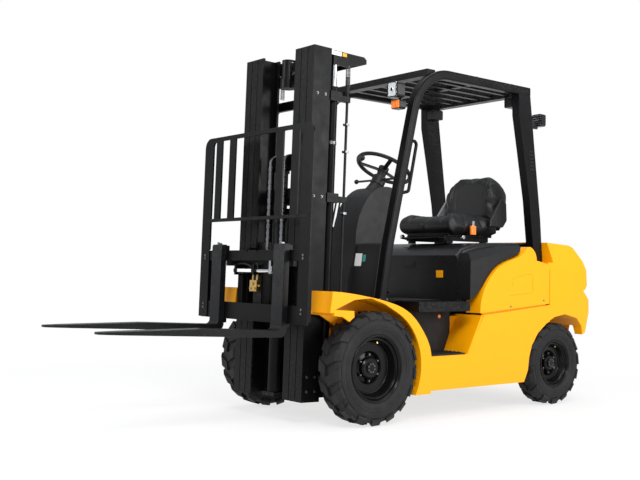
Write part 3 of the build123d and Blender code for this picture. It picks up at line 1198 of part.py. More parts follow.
def main():
    os.makedirs("parts", exist_ok=True)
    y_rear = WHEELBASE
    front_left = Pos(FRONT_TRACK / 2, 0, FRONT_TYRE_R)
    rear_left = Pos(REAR_TRACK / 2, y_rear, REAR_TYRE_R)
    front_tyre = front_left * tyre(FRONT_TYRE_R, FRONT_TYRE_W, FRONT_RIM_R, FRONT_LUGS)
    rear_tyre = rear_left * tyre(REAR_TYRE_R, REAR_TYRE_W, REAR_RIM_R, REAR_LUGS)
    front_rim = front_left * rim(FRONT_RIM_R, FRONT_TYRE_W, FRONT_HUB_R, FRONT_OFFSET)
    rear_rim = rear_left * rim(REAR_RIM_R, REAR_TYRE_W, REAR_HUB_R, REAR_OFFSET)
    for name, shape in (("front_tyre", front_tyre), ("rear_tyre", rear_tyre),
                        ("front_rim", front_rim), ("rear_rim", rear_rim),
                        ("knuckle", knuckle())):
        save(f"{name}_left", shape)
        save(f"{name}_right", mirror(shape, about=Plane.YZ))
    save("frame", frame())
    save("step_mats", step_mats())
    save("floor_plate", floor_plate())
    save("drive_axle", drive_axle())
    save("steer_axle", steer_axle())
    save("counterweight", counterweight())
    save("tow_pin", tow_pin())
    save("radiator", radiator())
    save("engine", engine())
    save("side_covers", side_covers())
    save("filler_door", filler_door())
    save("hood", hood())
    save("dash_cowl", dash_cowl())
    save("steering_column", steering_column())
    save("steering_wheel", steering_wheel())
    save("control_levers", control_levers())
    save("pedals", pedals())
    save("seat_base", seat_base())
    save("seat_cushion", seat_cushion())
    save("seat_back", seat_back())
    save("overhead_guard", overhead_guard())
    save("front_lamps", front_lamps())
    save("rear_lamps", rear_lamps())
    save("assist_grip", assist_grip())
    save("tilt_barrels", pair(tilt_barrel()))
    save("tilt_rods", pair(tilt_rod()))
    for name, shape in (("outer_mast", outer_mast()), ("lift_barrels", lift_barrels()),
                        ("mast_hoses", mast_hoses()), ("middle_mast", middle_mast()),
                        ("lift_rods", lift_rods()), ("inner_mast", inner_mast()),
                        ("free_lift_barrel", free_lift_barrel()), ("crosshead", crosshead()),
                        ("lift_chains", lift_chains()), ("lift_carriage", lift_carriage()),
                        ("shift_carriage", shift_carriage()), ("shift_cylinder", shift_cylinder()),
                        ("shift_rod", shift_rod()),
                        ("backrest", backrest()), ("fork_left", fork()),
                        ("fork_right", mirror(fork(), about=Plane.YZ))):
        save(name, mast_lean(shape))


main()
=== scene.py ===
import json
import math

import bmesh
import bpy
from mathutils import Matrix, Vector


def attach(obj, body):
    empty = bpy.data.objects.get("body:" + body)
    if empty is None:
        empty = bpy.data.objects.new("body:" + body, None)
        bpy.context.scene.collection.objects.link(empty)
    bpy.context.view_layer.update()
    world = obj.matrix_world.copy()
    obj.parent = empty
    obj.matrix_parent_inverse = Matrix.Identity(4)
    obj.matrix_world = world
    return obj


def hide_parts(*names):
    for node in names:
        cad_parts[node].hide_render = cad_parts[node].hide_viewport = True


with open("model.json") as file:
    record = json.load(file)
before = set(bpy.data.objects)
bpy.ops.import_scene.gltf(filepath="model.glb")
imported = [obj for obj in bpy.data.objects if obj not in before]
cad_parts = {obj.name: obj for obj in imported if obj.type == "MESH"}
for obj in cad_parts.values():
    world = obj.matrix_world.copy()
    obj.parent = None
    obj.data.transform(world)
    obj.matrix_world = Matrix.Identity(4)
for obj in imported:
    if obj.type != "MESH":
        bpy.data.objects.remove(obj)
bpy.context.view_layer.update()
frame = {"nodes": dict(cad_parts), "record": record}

# Places from the CAD frame, in metres; at() and Build.box() take Y from the front axle's line
AXLE_Y = -0.20276
WHEELBASE = 1.640
FRONT_TYRE = 0.325
REAR_TYRE = 0.275
FRONT_WHEEL = Vector((0.4825, AXLE_Y, FRONT_TYRE))
REAR_WHEEL = Vector((0.4875, AXLE_Y + WHEELBASE, REAR_TYRE))
SIDES = (("left", 1), ("right", -1))

# The mast group is drawn upright and then leant back about the front axle
PIVOT = Vector((0, AXLE_Y, FRONT_TYRE))
LEAN = (Matrix.Translation(PIVOT) @ Matrix.Rotation(math.radians(-1.5), 4, "X")
        @ Matrix.Translation(-PIVOT))


def at(x, y, z):
    return (x, AXLE_Y + y, z)


# Camera, as fitted to the photograph

SENSOR_MM = 36.0
LENS_MM = 53.178
CAMERA_PLACE = at(4.47653, -3.66713, 0.87631)
CAMERA_TURN = (50.517, -1.831, 0.997)  # yaw, pitch and roll in degrees


def make_camera():
    data = bpy.data.cameras.new("camera")
    data.sensor_fit = "HORIZONTAL"
    data.sensor_width = SENSOR_MM
    data.lens = LENS_MM
    data.clip_start, data.clip_end = 0.05, 100.0
    cam = bpy.data.objects.new("camera", data)
    bpy.context.scene.collection.objects.link(cam)
    yaw, pitch, roll = (math.radians(a) for a in CAMERA_TURN)
    forward = Vector((-math.sin(yaw) * math.cos(pitch), math.cos(yaw) * math.cos(pitch),
                      -math.sin(pitch)))
    right = Vector((math.cos(yaw), math.sin(yaw), 0))
    up = right.cross(forward)
    across = right * math.cos(roll) + up * math.sin(roll)
    upward = -right * math.sin(roll) + up * math.cos(roll)
    m = Matrix((across, upward, -forward)).transposed().to_4x4()
    m.translation = CAMERA_PLACE
    cam.matrix_world = m
    bpy.context.scene.camera = cam


make_camera()
bpy.context.scene.view_settings.view_transform = "Standard"


# Materials

# Levels for the "Specular IOR Level" socket
DULL = 0.26
DEEP = 0.12
# Socket numbers of a Mix node in its colour mode, where names are shared
MIX_FACTOR, MIX_A, MIX_B, MIX_RESULT = 0, 6, 7, 2


def tint(color, factor, lift=0.0):
    return tuple(c * factor + lift for c in color)


class Mat:
    """Small helper that wires one Principled material."""

    def __init__(self, name):
        self.mat = bpy.data.materials.new(name)
        self.mat.use_nodes = True
        self.tree = self.mat.node_tree
        self.bsdf = self.tree.nodes["Principled BSDF"]
        self.coord = self.tree.nodes.new("ShaderNodeTexCoord")

    def node(self, kind, inputs=None, **settings):
        """New node with its settings, and values for its input sockets."""
        n = self.tree.nodes.new(kind)
        for key, value in settings.items():
            setattr(n, key, value)
        for key, value in (inputs or {}).items():
            n.inputs[key].default_value = value
        return n

    def link(self, a, b):
        self.tree.links.new(a, b)

    def put(self, name, value):
        """Set one socket of the Principled shader, or feed it from another node."""
        socket = self.bsdf.inputs[name]
        if isinstance(value, bpy.types.NodeSocket):
            self.link(value, socket)
        else:
            socket.default_value = value

    def noise(self, scale, detail=4.0, rough=0.6, stretch=None):
        n = self.node("ShaderNodeTexNoise", {"Scale": scale, "Detail": detail, "Roughness": rough})
        source = self.coord.outputs["Object"]
        if stretch:
            m = self.node("ShaderNodeMapping", {"Scale": stretch})
            self.link(source, m.inputs["Vector"])
            source = m.outputs["Vector"]
        self.link(source, n.inputs["Vector"])
        return n.outputs["Fac"]

    def ramp(self, fac, low, dark, high, light):
        """Grey ramp from dark at low to light at high."""
        n = self.node("ShaderNodeValToRGB")
        for e, pos, grey in zip(n.color_ramp.elements, (low, high), (dark, light)):
            e.position = pos
            e.color = (grey, grey, grey, 1)
        self.link(fac, n.inputs["Fac"])
        return n.outputs["Color"]

    def mix(self, fac, a, b):
        n = self.node("ShaderNodeMix", data_type="RGBA")
        for value, index in ((a, MIX_A), (b, MIX_B)):
            if isinstance(value, tuple):
                n.inputs[index].default_value = (*value, 1)
            else:
                self.link(value, n.inputs[index])
        self.link(fac, n.inputs[MIX_FACTOR])
        return n.outputs[MIX_RESULT]

    def bump(self, height, strength, distance):
        """Bump from a height, laid over any bump that is there already."""
        n = self.node("ShaderNodeBump", {"Strength": strength, "Distance": distance})
        self.link(height, n.inputs["Height"])
        last = self.bsdf.inputs["Normal"]
        if last.links:
            self.link(last.links[0].from_socket, n.inputs["Normal"])
        self.link(n.outputs["Normal"], last)

    def edges(self):
        """Mask for wear along the convex edges, broken up by noise."""
        geo = self.node("ShaderNodeNewGeometry")
        sharp = self.ramp(geo.outputs["Pointiness"], 0.53, 0, 0.60, 1)
        grain = self.ramp(self.noise(55, 6, 0.7), 0.45, 0, 0.62, 1)
        n = self.node("ShaderNodeMix", data_type="RGBA", blend_type="MULTIPLY")
        n.inputs[MIX_FACTOR].default_value = 1.0
        self.link(sharp, n.inputs[MIX_A])
        self.link(grain, n.inputs[MIX_B])
        return n.outputs[MIX_RESULT]


def paint(name, color, rough, deep, wear=None, coat=0.0, grime=0.5, gloss=0.5):
    """Enamel: slow colour drift, orange peel, and worn edges where asked."""
    m = Mat(name)
    m.put("Specular IOR Level", gloss)
    base = m.mix(m.noise(2.3, 3), color, tint(color, deep))
    dust = m.ramp(m.noise(9, 8, 0.7), 0.45, 0, 0.85, grime)
    base = m.mix(dust, base, tint(color, 0.72, 0.02))
    if wear:
        base = m.mix(m.edges(), base, (wear,) * 3)
    m.put("Base Color", base)
    m.put("Roughness", m.ramp(m.noise(14, 6), 0.3, rough * 0.8, 0.75, rough * 1.25))
    m.put("Coat Weight", coat)
    m.put("Coat Roughness", 0.08)
    m.bump(m.noise(420, 2), 0.05, 0.0006)
    return m.mat


def plastic(name, color, rough, grain=700, depth=0.12):
    """Moulded plastic with a fine leather grain."""
    m = Mat(name)
    m.put("Specular IOR Level", DULL)
    m.put("Base Color", m.mix(m.noise(3.1, 3), color, tint(color, 1.35)))
    m.put("Roughness", m.ramp(m.noise(20, 5), 0.3, rough * 0.85, 0.7, min(1, rough * 1.15)))
    v = m.node("ShaderNodeTexVoronoi", {"Scale": grain})
    m.link(m.coord.outputs["Object"], v.inputs["Vector"])
    m.bump(v.outputs["Distance"], depth, 0.0004)
    return m.mat


def rubber(name, color, rough, scale=90, depth=0.25):
    """Rubber with patches of paler dust over a coarse and a fine bump."""
    m = Mat(name)
    m.put("Specular IOR Level", DULL)
    dust = m.ramp(m.noise(6, 8, 0.72), 0.42, 0, 0.75, 1)
    m.put("Base Color", m.mix(dust, color, tint(color, 1.9)))
    m.put("Roughness", m.ramp(m.noise(11, 6), 0.3, rough * 0.85, 0.7, min(1, rough * 1.1)))
    m.bump(m.noise(scale, 8, 0.65), depth, 0.0012)
    m.bump(m.noise(scale * 7, 3), depth * 0.6, 0.0004)
    return m.mat


def metal(name, color, rough, stretch=(1, 1, 1)):
    """Bare metal; stretch draws its streaks out along an axis."""
    m = Mat(name)
    m.put("Metallic", 1.0)
    n = m.noise(60, 6, 0.6, stretch)
    m.put("Base Color", m.mix(n, color, tint(color, 0.75)))
    m.put("Roughness", m.ramp(n, 0.3, rough * 0.7, 0.75, rough * 1.4))
    m.bump(n, 0.03, 0.0005)
    return m.mat


def casting(name, color, rough):
    """Painted casting: sandy, uneven, slightly oily."""
    m = Mat(name)
    oil = m.ramp(m.noise(5, 7, 0.7), 0.4, 0, 0.7, 1)
    m.put("Base Color", m.mix(oil, color, tint(color, 0.5)))
    m.put("Roughness", m.ramp(m.noise(8, 6), 0.3, rough * 0.6, 0.7, rough))
    m.bump(m.noise(160, 5, 0.6), 0.3, 0.0014)
    return m.mat


def lens(name, color, strength):
    """Ribbed lamp lens with painted light: its emission is a faint painted glow that stands in for
    the brightness of its reflector.
    """
    m = Mat(name)
    w = m.node("ShaderNodeTexWave", {"Scale": 55})
    m.link(m.coord.outputs["Object"], w.inputs["Vector"])
    m.put("Base Color", m.mix(w.outputs["Fac"], color, tint(color, 0.7)))
    m.put("Roughness", 0.12)
    m.put("Coat Weight", 0.8)
    # Painted glow: the emission fakes light from the reflector, the lamp is not lit
    m.put("Emission Color", (*color, 1))
    m.put("Emission Strength", strength)
    m.bump(w.outputs["Fac"], 0.4, 0.001)
    return m.mat


YELLOW = paint("yellow_enamel", (0.92, 0.365, 0.0), 0.36, 0.95, coat=0.06, grime=0.04, gloss=0.2)
BLACK = paint("black_enamel", (0.0035, 0.0035, 0.004), 0.34, 0.8, wear=0.02,
              grime=0.05, gloss=DEEP)
MAST = paint("mast_enamel", (0.0030, 0.0030, 0.0034), 0.36, 0.8, wear=0.02,
             grime=0.05, gloss=DEEP)
FORK = paint("fork_enamel", (0.005, 0.005, 0.0055), 0.34, 0.8, wear=0.04,
             grime=0.10, gloss=0.2)
RIM = paint("rim_enamel", (0.004, 0.004, 0.0044), 0.26, 0.8, coat=0.08, grime=0.06, gloss=0.15)
CHARCOAL = plastic("charcoal_plastic", (0.010, 0.010, 0.0105), 0.48)
HOOD_PLASTIC = plastic("hood_plastic", (0.008, 0.008, 0.0085), 0.30, grain=900, depth=0.06)
STEP = rubber("step_rubber", (0.012, 0.012, 0.0125), 0.75)
HOSE = rubber("hose_rubber", (0.006, 0.006, 0.0065), 0.5, scale=300, depth=0.1)
TYRE = rubber("tyre_rubber", (0.010, 0.010, 0.0105), 0.72)
IRON = casting("axle_iron", (0.010, 0.010, 0.0105), 0.6)
STEEL = metal("oiled_steel", (0.22, 0.22, 0.23), 0.38)
CHROME = metal("rod_chrome", (0.80, 0.81, 0.83), 0.12, stretch=(6, 6, 0.3))
ALLOY = metal("core_alloy", (0.30, 0.30, 0.32), 0.5)
BRASS = metal("brass_fittings", (0.62, 0.42, 0.16), 0.34)
LAMP_CASE = plastic("lamp_case", (0.007, 0.007, 0.0075), 0.28, grain=500, depth=0.05)
# Lens materials with a painted glow in their emission, which stands in for light off the
# reflectors
WHITE_PAINTED_GLOW = lens("lens_white_painted_glow", (0.86, 0.88, 0.90), 0.05)
AMBER_PAINTED_GLOW = lens("lens_amber_painted_glow", (1.0, 0.24, 0.02), 0.25)
RED_PAINTED_GLOW = lens("lens_red_painted_glow", (0.78, 0.03, 0.02), 0.15)
PLATE = paint("bare_plate", (0.78, 0.79, 0.79), 0.35, 0.95, grime=0.15)
TEAL = paint("teal_plate", (0.03, 0.30, 0.29), 0.35, 0.95, grime=0.1)
VINYL = plastic("seat_vinyl", (0.009, 0.009, 0.0095), 0.42, grain=420, depth=0.35)
VINYL_GREY = plastic("seat_side_grey", (0.16, 0.16, 0.165), 0.5, grain=420, depth=0.3)

FINISH = {"yellow_paint": YELLOW, "black_paint": BLACK, "mast_paint": MAST, "fork_paint": FORK,
          "rim_paint": RIM, "axle_iron": IRON, "charcoal_plastic": CHARCOAL,
          "step_rubber": STEP, "hose_rubber": HOSE, "seat_vinyl": VINYL, "tyre_rubber": TYRE,
          "rod_chrome": CHROME, "steel": STEEL, "core_alloy": ALLOY, "lamp_plastic": LAMP_CASE}


# Carried-over CAD nodes: their finish, and softened edges

BEVELS = {"frame": 0.004, "counterweight": 0.010, "side_covers": 0.007, "filler_door": 0.003,
          "hood": 0.008, "dash_cowl": 0.008, "overhead_guard": 0.003, "seat_base": 0.002,
          "backrest": 0.0015, "outer_mast": 0.002, "middle_mast": 0.002, "inner_mast": 0.002,
          "shift_carriage": 0.002, "lift_carriage": 0.002, "fork_left": 0.003,
          "fork_right": 0.003}
EDGE = 0.0012
CREASE = math.radians(32)
WELD_GAP = 0.00003


def soften(o, width):
    weld = o.modifiers.new("weld", "WELD")
    weld.merge_threshold = WELD_GAP
    bevel = o.modifiers.new("bevel", "BEVEL")
    bevel.width = width
    bevel.segments = 2
    bevel.limit_method = "ANGLE"
    bevel.angle_limit = CREASE
    bevel.harden_normals = True
    bevel.use_clamp_overlap = True


def dress_cad():
    slots = {s["node"]: s["material_slot"] for s in frame["record"]["subparts"]}
    for name, o in frame["nodes"].items():
        o.data.materials.clear()
        o.data.materials.append(HOOD_PLASTIC if name == "hood" else FINISH[slots[name]])
        if "custom_normal" in o.data.attributes:
            o.data.attributes.remove(o.data.attributes["custom_normal"])
        o.data.shade_smooth()
        soften(o, BEVELS.get(name, EDGE))


dress_cad()


# Mesh building

class Build:
    """Gathers simple solids in one mesh and makes it one piece."""

    def __init__(self):
        self.bm = bmesh.new()

    def _add(self, verts, matrix):
        bmesh.ops.transform(self.bm, matrix=matrix, verts=verts)

    def box(self, x0, x1, y0, y1, z0, z1, turn=None):
        """Box between two corners, turned about its own centre."""
        made = bmesh.ops.create_cube(self.bm, size=1.0)["verts"]
        m = Matrix.Translation(at((x0 + x1) / 2, (y0 + y1) / 2, (z0 + z1) / 2))
        if turn:
            m = m @ turn
        self._add(made, m @ Matrix.Diagonal((abs(x1 - x0), abs(y1 - y0), abs(z1 - z0), 1)))

    def rod(self, a, b, r, r2=None, seg=20):
        a, b = Vector(a), Vector(b)
        made = bmesh.ops.create_cone(self.bm, cap_ends=True, segments=seg, radius1=r,
                                     radius2=r if r2 is None else r2,
                                     depth=(b - a).length)["verts"]
        turn = (b - a).to_track_quat("Z", "Y").to_matrix().to_4x4()
        self._add(made, Matrix.Translation((a + b) / 2) @ turn)

    def lathe(self, profile, centre, seg=64):
        """Revolve (x, radius) points about the X axis through centre."""
        rings = []
        for i in range(seg):
            a = 2 * math.pi * i / seg
            rings.append([self.bm.verts.new((centre[0] + x, centre[1] + r * math.cos(a),
                                             centre[2] + r * math.sin(a)))
                          for x, r in profile])
        for i in range(seg):
            p, q = rings[i], rings[(i + 1) % seg]
            for k in range(len(profile) - 1):
                self.bm.faces.new((p[k], p[k + 1], q[k + 1], q[k]))

    def prism(self, outline, x0, x1):
        """Extrude a closed (y, z) outline along X."""
        lo, hi = ([self.bm.verts.new(at(x, y, z)) for y, z in outline] for x in (x0, x1))
        self.bm.faces.new(lo[::-1])
        self.bm.faces.new(hi)
        for i in range(len(outline)):
            j = (i + 1) % len(outline)
            self.bm.faces.new((lo[i], lo[j], hi[j], hi[i]))

    def piece(self, name, body, mat, bevel=0.001, lean=False):
        if lean:
            bmesh.ops.transform(self.bm, matrix=LEAN, verts=self.bm.verts)
        bmesh.ops.recalc_face_normals(self.bm, faces=self.bm.faces)
        data = bpy.data.meshes.new(name)
        self.bm.to_mesh(data)
        self.bm.free()
        o = bpy.data.objects.new(name, data)
        bpy.context.scene.collection.objects.link(o)
        data.materials.append(mat)
        data.shade_smooth()
        if bevel:
            b = o.modifiers.new("bevel", "BEVEL")
            b.width, b.segments, b.limit_method = bevel, 2, "ANGLE"
            b.angle_limit = CREASE
            b.harden_normals = True
        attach(o, body)
        return o


def tube(name, body, points, r, mat, lean=False):
    """A bent pipe or clipped hose, as a smooth curve."""
    curve = bpy.data.curves.new(name, "CURVE")
    curve.dimensions = "3D"
    curve.bevel_depth = r
    curve.bevel_resolution = 4
    curve.use_fill_caps = True
    s = curve.splines.new("NURBS")
    s.points.add(len(points) - 1)
    for p, c in zip(s.points, points):
        v = LEAN @ Vector(c) if lean else Vector(c)
        p.co = (*v, 1)
    s.order_u = 3
    s.use_endpoint_u = True
    o = bpy.data.objects.new(name, curve)
    bpy.context.scene.collection.objects.link(o)
    curve.materials.append(mat)
    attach(o, body)
    return o


def bolt(build, centre, along, r, height):
    """Bolt head with its washer, standing on centre and pointing along."""
    c, d = Vector(centre), Vector(along).normalized()
    build.rod(c, c + d * height * 0.25, r * 1.45, seg=20)
    build.rod(c + d * height * 0.25, c + d * height, r, seg=6)
    build.rod(c + d * height, c + d * height * 1.25, r * 0.5, seg=12)


def plate(name, body, mat, corners, bevel, turn=None, lean=False):
    """One box as a piece of its own, such as a bare label."""
    b = Build()
    b.box(*corners, turn)
    b.piece(name, body, mat, bevel=bevel, lean=lean)


# Wheels: tyre wall ribs, rim rings, wheel studs, hub bolts and valve

# Piece name, body, centre, rim radius, tyre radius, width, hub radius, how far out the disc
# stands, and how far out the tyre wall stands at each of its three ribs
WHEELS = (
    ("front_wheel", "wheel_front", FRONT_WHEEL, 0.195, FRONT_TYRE, 0.175, 0.062, -0.008,
     (0.0818, 0.0849, 0.0815)),
    ("rear_wheel", "wheel_rear", REAR_WHEEL, 0.160, REAR_TYRE, 0.155, 0.052, -0.002,
     (0.0739, 0.0752, 0.0736)))

# Sections of a tyre rib and of a rim ring: outwards along the axle, and in radius
RIB = ((-0.003, -0.004), (0.0022, -0.0022), (0.0022, 0.0022), (-0.003, 0.004))
RING = ((-0.003, -0.005), (0.004, -0.004), (0.004, 0.001), (-0.003, 0.003))


def hoops(build, section, centre, side, places, seg):
    for x, r in places:
        build.lathe([(x + side * dx, r + dr) for dx, dr in (*section, section[0])], centre, seg)


def around(count, radius, start=0):
    """Points (y, z) spaced evenly round an axle."""
    angles = (math.radians(360 / count * i + start) for i in range(count))
    return [(math.sin(a) * radius, math.cos(a) * radius) for a in angles]


def dress_wheel(name, body, centre, rim_r, tyre_r, width, hub_r, offset, wall, word, side):
    body = f"{body}_{word}"
    c = Vector((centre.x * side, centre.y, centre.z))
    face = side * width / 2
    b = Build()
    radii = (rim_r + 0.030, rim_r + 0.046, tyre_r - 0.052)
    hoops(b, RIB, c, side, [(side * reach, r) for reach, r in zip(wall, radii)], seg=72)
    b.piece(f"{name}_wall_ribs_{word}", body, TYRE, bevel=0)
    b = Build()
    places = ((0.80 * face, rim_r - 0.006), (0.60 * face, rim_r - 0.024),
              (side * (offset + 0.012), rim_r - 0.050))
    hoops(b, RING, c, side, places, seg=96)
    b.piece(f"{name}_rim_rings_{word}", body, RIM, bevel=0)
    b = Build()
    for y, z in around(6, hub_r + 0.013):
        start = c + Vector((side * (offset + 0.003), y, z))
        b.rod(start, start + Vector((side * 0.012, 0, 0)), 0.0048, seg=12)
    for y, z in around(8, 0.024, start=20):
        bolt(b, c + Vector((side * (offset + 0.033), y, z)), (side, 0, 0), 0.0035, 0.005)
    b.piece(f"{name}_studs_{word}", body, STEEL, bevel=0.0004)
    b = Build()
    foot = c + Vector((side * (offset + 0.006), 0.030, rim_r - 0.058))
    neck = foot + Vector((side * 0.030, 0, 0.006))
    b.rod(foot, neck, 0.0045, seg=12)
    b.rod(neck, foot + Vector((side * 0.038, 0, 0.0076)), 0.0056, seg=12)
    b.piece(f"{name}_valve_{word}", body, BRASS, bevel=0.0004)


for wheel in WHEELS:
    for word, side in SIDES:
        dress_wheel(*wheel, word, side)


# Lamps

def dress_lamps():
    for word, side in SIDES:
        # Every lens here has a faint painted glow from its material's emission
        plate(f"headlamp_lens_{word}", "truck", WHITE_PAINTED_GLOW,
              (0.368 * side, 0.432 * side, 0.2285, 0.233, 1.926, 2.006), 0.002)
        b = Build()
        for x in (0.365, 0.435):
            b.box((x - 0.003) * side, (x + 0.003) * side, 0.227, 0.234, 1.920, 2.012)
        for z in (1.923, 2.009):
            b.box(0.362 * side, 0.438 * side, 0.227, 0.234, z - 0.003, z + 0.003)
        c = Vector(at(0.400 * side, 0.2295, 1.966))
        b.rod(c, c + Vector((0, -0.004, 0)), 0.013, r2=0.010, seg=32)
        b.piece(f"headlamp_bezel_{word}", "truck", CHROME, bevel=0.0006)
        b = Build()
        for x in (0.367, 0.402):
            b.box(x * side, (x + 0.031) * side, 0.2535, 0.262, 1.857, 1.903)
        b.piece(f"turn_lens_{word}", "truck", AMBER_PAINTED_GLOW, bevel=0.003)
        for kind, mat, z0, z1 in (("tail", AMBER_PAINTED_GLOW, 2.040, 2.066),
                                  ("stop", RED_PAINTED_GLOW, 2.004, 2.037)):
            b = Build()
            b.box(0.334 * side, 0.388 * side, 1.449, 1.456, z0, z1)
            b.box(0.390 * side, 0.396 * side, 1.400, 1.452, z0, z1)
            b.piece(f"{kind}_lens_{word}", "truck", mat, bevel=0.002)
    b = Build()
    b.rod(at(0.427, 1.619, 1.930), at(0.427, 1.627, 1.930), 0.034, r2=0.034 * 0.86, seg=40)
    b.piece("work_lamp_lens", "truck", WHITE_PAINTED_GLOW, bevel=0.001)
    b = Build()
    c = Vector(at(0.427, 1.6225, 1.930))
    b.rod(c, c + Vector((0, 0.003, 0)), 0.038, seg=40)
    for z in (1.900, 1.915, 1.930, 1.945, 1.960):
        b.box(0.390, 0.464, 1.570, 1.578, z - 0.003, z + 0.003)
    b.piece("work_lamp_bezel", "truck", STEEL, bevel=0.0006)


dress_lamps()


# Carriage: valve block, side shift hoses, bare label, the shifter's bolts and fork latches

BAR_FACE = -0.505
BAR_TOP = 0.973
BAR_LOW = 0.566
LIFT_FACE = -0.457


def dress_carriage():
    core, front, mid = LIFT_FACE - 0.016, LIFT_FACE - 0.032, LIFT_FACE - 0.024
    plate("valve_bracket", "carriage", MAST,
          (-0.040, 0.040, LIFT_FACE, LIFT_FACE + 0.010, BAR_LOW + 0.085, BAR_LOW + 0.265),
          0.001, lean=True)
    b = Build()
    b.box(-0.034, 0.034, front, LIFT_FACE, 0.735, 0.800)
    for x in (-0.020, 0.020):
        b.rod(at(x, core, 0.800), at(x, core, 0.822), 0.009, seg=6)
        b.rod(at(x, core, 0.822), at(x, core, 0.832), 0.007, seg=16)
        b.rod(at(x, front, 0.752), at(x, LIFT_FACE - 0.039, 0.752), 0.008, seg=6)
    b.rod(at(0, front, 0.780), at(0, LIFT_FACE - 0.040, 0.780), 0.010, seg=6)
    b.rod(at(0.034, core, 0.768), at(0.052, core, 0.768), 0.008, seg=6)
    b.piece("shift_valve_block", "carriage", BRASS, bevel=0.0008, lean=True)
    for i, x, bend, out in ((0, -0.020, -0.040, -0.175), (1, 0.020, 0.040, 0.012)):
        tube(f"shift_hose_{i}", "carriage",
             [at(x, core, 0.828), at(x, LIFT_FACE - 0.018, 0.850),
              at(bend, LIFT_FACE - 0.030, 0.892), at(out, mid, 0.900), at(out, mid, 0.872)],
             0.006, HOSE, lean=True)
    plate("cylinder_label", "carriage", PLATE, (-0.150, -0.010, -0.5005, -0.4988, 0.846, 0.864),
          0.0003, lean=True)
    b = Build()
    for x in (-0.485, 0.485):
        for z in (BAR_LOW + 0.060, BAR_LOW + 0.082, BAR_TOP - 0.030, BAR_TOP - 0.048):
            bolt(b, at(x, BAR_FACE, z), (0, -1, 0), 0.0075, 0.009)
    b.piece("carriage_bolts", "shifter", STEEL, bevel=0.0005, lean=True)
    for word, side in SIDES:
        b = Build()
        b.rod(at(0.310 * side, -0.533, 0.975), at(0.310 * side, -0.533, 1.021), 0.007, seg=16)
        b.box(side * 0.300, side * 0.320, -0.537, -0.513, 1.006, 1.016)
        b.piece(f"fork_latch_{word}", f"fork_arm_{word}", STEEL, bevel=0.001, lean=True)


dress_carriage()


# Mast: chain and sheave pins, bolts, hose guards and clamps, and the cylinders' bands

FREE_LINE = -0.300
CHAIN_FACE = FREE_LINE - 0.0525
CHAIN_X = 0.066
CHAIN_PITCH = 0.019
HOSE_X = 0.316
COIL_Y = -0.092
COIL_R = 0.0125
COIL_WIRE = 0.0022
COIL_LOW = 1.955
COIL_RISE = 0.0078
COIL_SIDES = 14
COIL_TURNS = 15
LIFT_X = 0.300


def dress_mast():
    b = Build()
    for x in (-CHAIN_X, CHAIN_X):
        z = 0.925
        while z < 1.485:
            b.rod(at(x - 0.0145, CHAIN_FACE + 0.006, z), at(x + 0.0145, CHAIN_FACE + 0.006, z),
                  0.0028, seg=10)
            z += CHAIN_PITCH
    b.piece("chain_pins", "chain_head", STEEL, bevel=0, lean=True)
    b = Build()
    for x in (-CHAIN_X, CHAIN_X):
        b.rod(at(x - 0.026, FREE_LINE, 1.500), at(x + 0.026, FREE_LINE, 1.500), 0.014, seg=20)
        bolt(b, at(x * 1.42, FREE_LINE, 1.500), (x, 0, 0), 0.011, 0.010)
    b.piece("sheave_pins", "chain_head", STEEL, bevel=0.0006, lean=True)
    b = Build()
    for side in (1, -1):
        for z in (0.185, 0.265, 0.625, 0.665, 1.289, 1.878):
            for y in (-0.330, -0.272):
                bolt(b, at(side * 0.332, y, z), (side, 0, 0), 0.0058, 0.006)
    b.piece("outer_mast_bolts", "mast_outer", STEEL, bevel=0.0004, lean=True)
    b = Build()
    for side in (1, -1):
        for y in (-0.160, -0.100, -0.040):
            bolt(b, at(side * 0.240, y, 2.146), (0, 0, 1), 0.007, 0.007)
    b.piece("top_tie_bolts", "mast_middle", STEEL, bevel=0.0004, lean=True)
    b = Build()
    for side in (1, -1):
        x0 = side * HOSE_X
        for i in range(COIL_TURNS * COIL_SIDES):
            ends = []
            for k in (i, i + 1):
                a = 2 * math.pi * k / COIL_SIDES
                ends.append(at(x0 + COIL_R * math.cos(a), COIL_Y + COIL_R * math.sin(a),
                               COIL_LOW + COIL_RISE * k / COIL_SIDES))
            b.rod(*ends, COIL_WIRE, seg=6)
    b.piece("hose_coil_guards", "mast_outer", STEEL, bevel=0, lean=True)
    b = Build()
    for side in (1, -1):
        for z in (1.20, 1.56, 1.72):
            b.box(side * 0.300, side * 0.332, -0.105, -0.080, z, z + 0.014)
            b.rod(at(side * HOSE_X, -0.105, z + 0.007), at(side * HOSE_X, -0.113, z + 0.007),
                  0.005, seg=6)
    b.piece("hose_clamps", "mast_outer", STEEL, bevel=0.0006, lean=True)
    b = Build()
    b.rod(at(0, -0.291, 2.003), at(0, -0.291, 2.107), 0.0405, seg=40)
    b.piece("cushion_cylinder_sleeve", "mast_inner", CHROME, bevel=0.001, lean=True)
    b = Build()
    for side in (1, -1):
        b.rod(at(side * LIFT_X, -0.188, 1.600), at(side * LIFT_X, -0.188, 1.618), 0.0295, seg=32)
        b.rod(at(side * LIFT_X, -0.161, 0.215), at(side * LIFT_X, -0.140, 0.215), 0.010, seg=6)
    b.piece("lift_cylinder_bands", "mast_outer", STEEL, bevel=0.0006, lean=True)


dress_mast()


# Operator's place

INNER_WALL = 0.354
MARKER = (0.700, 0.600)
DASH_LEAN = Matrix.Rotation(math.radians(-9.1), 4, "X")


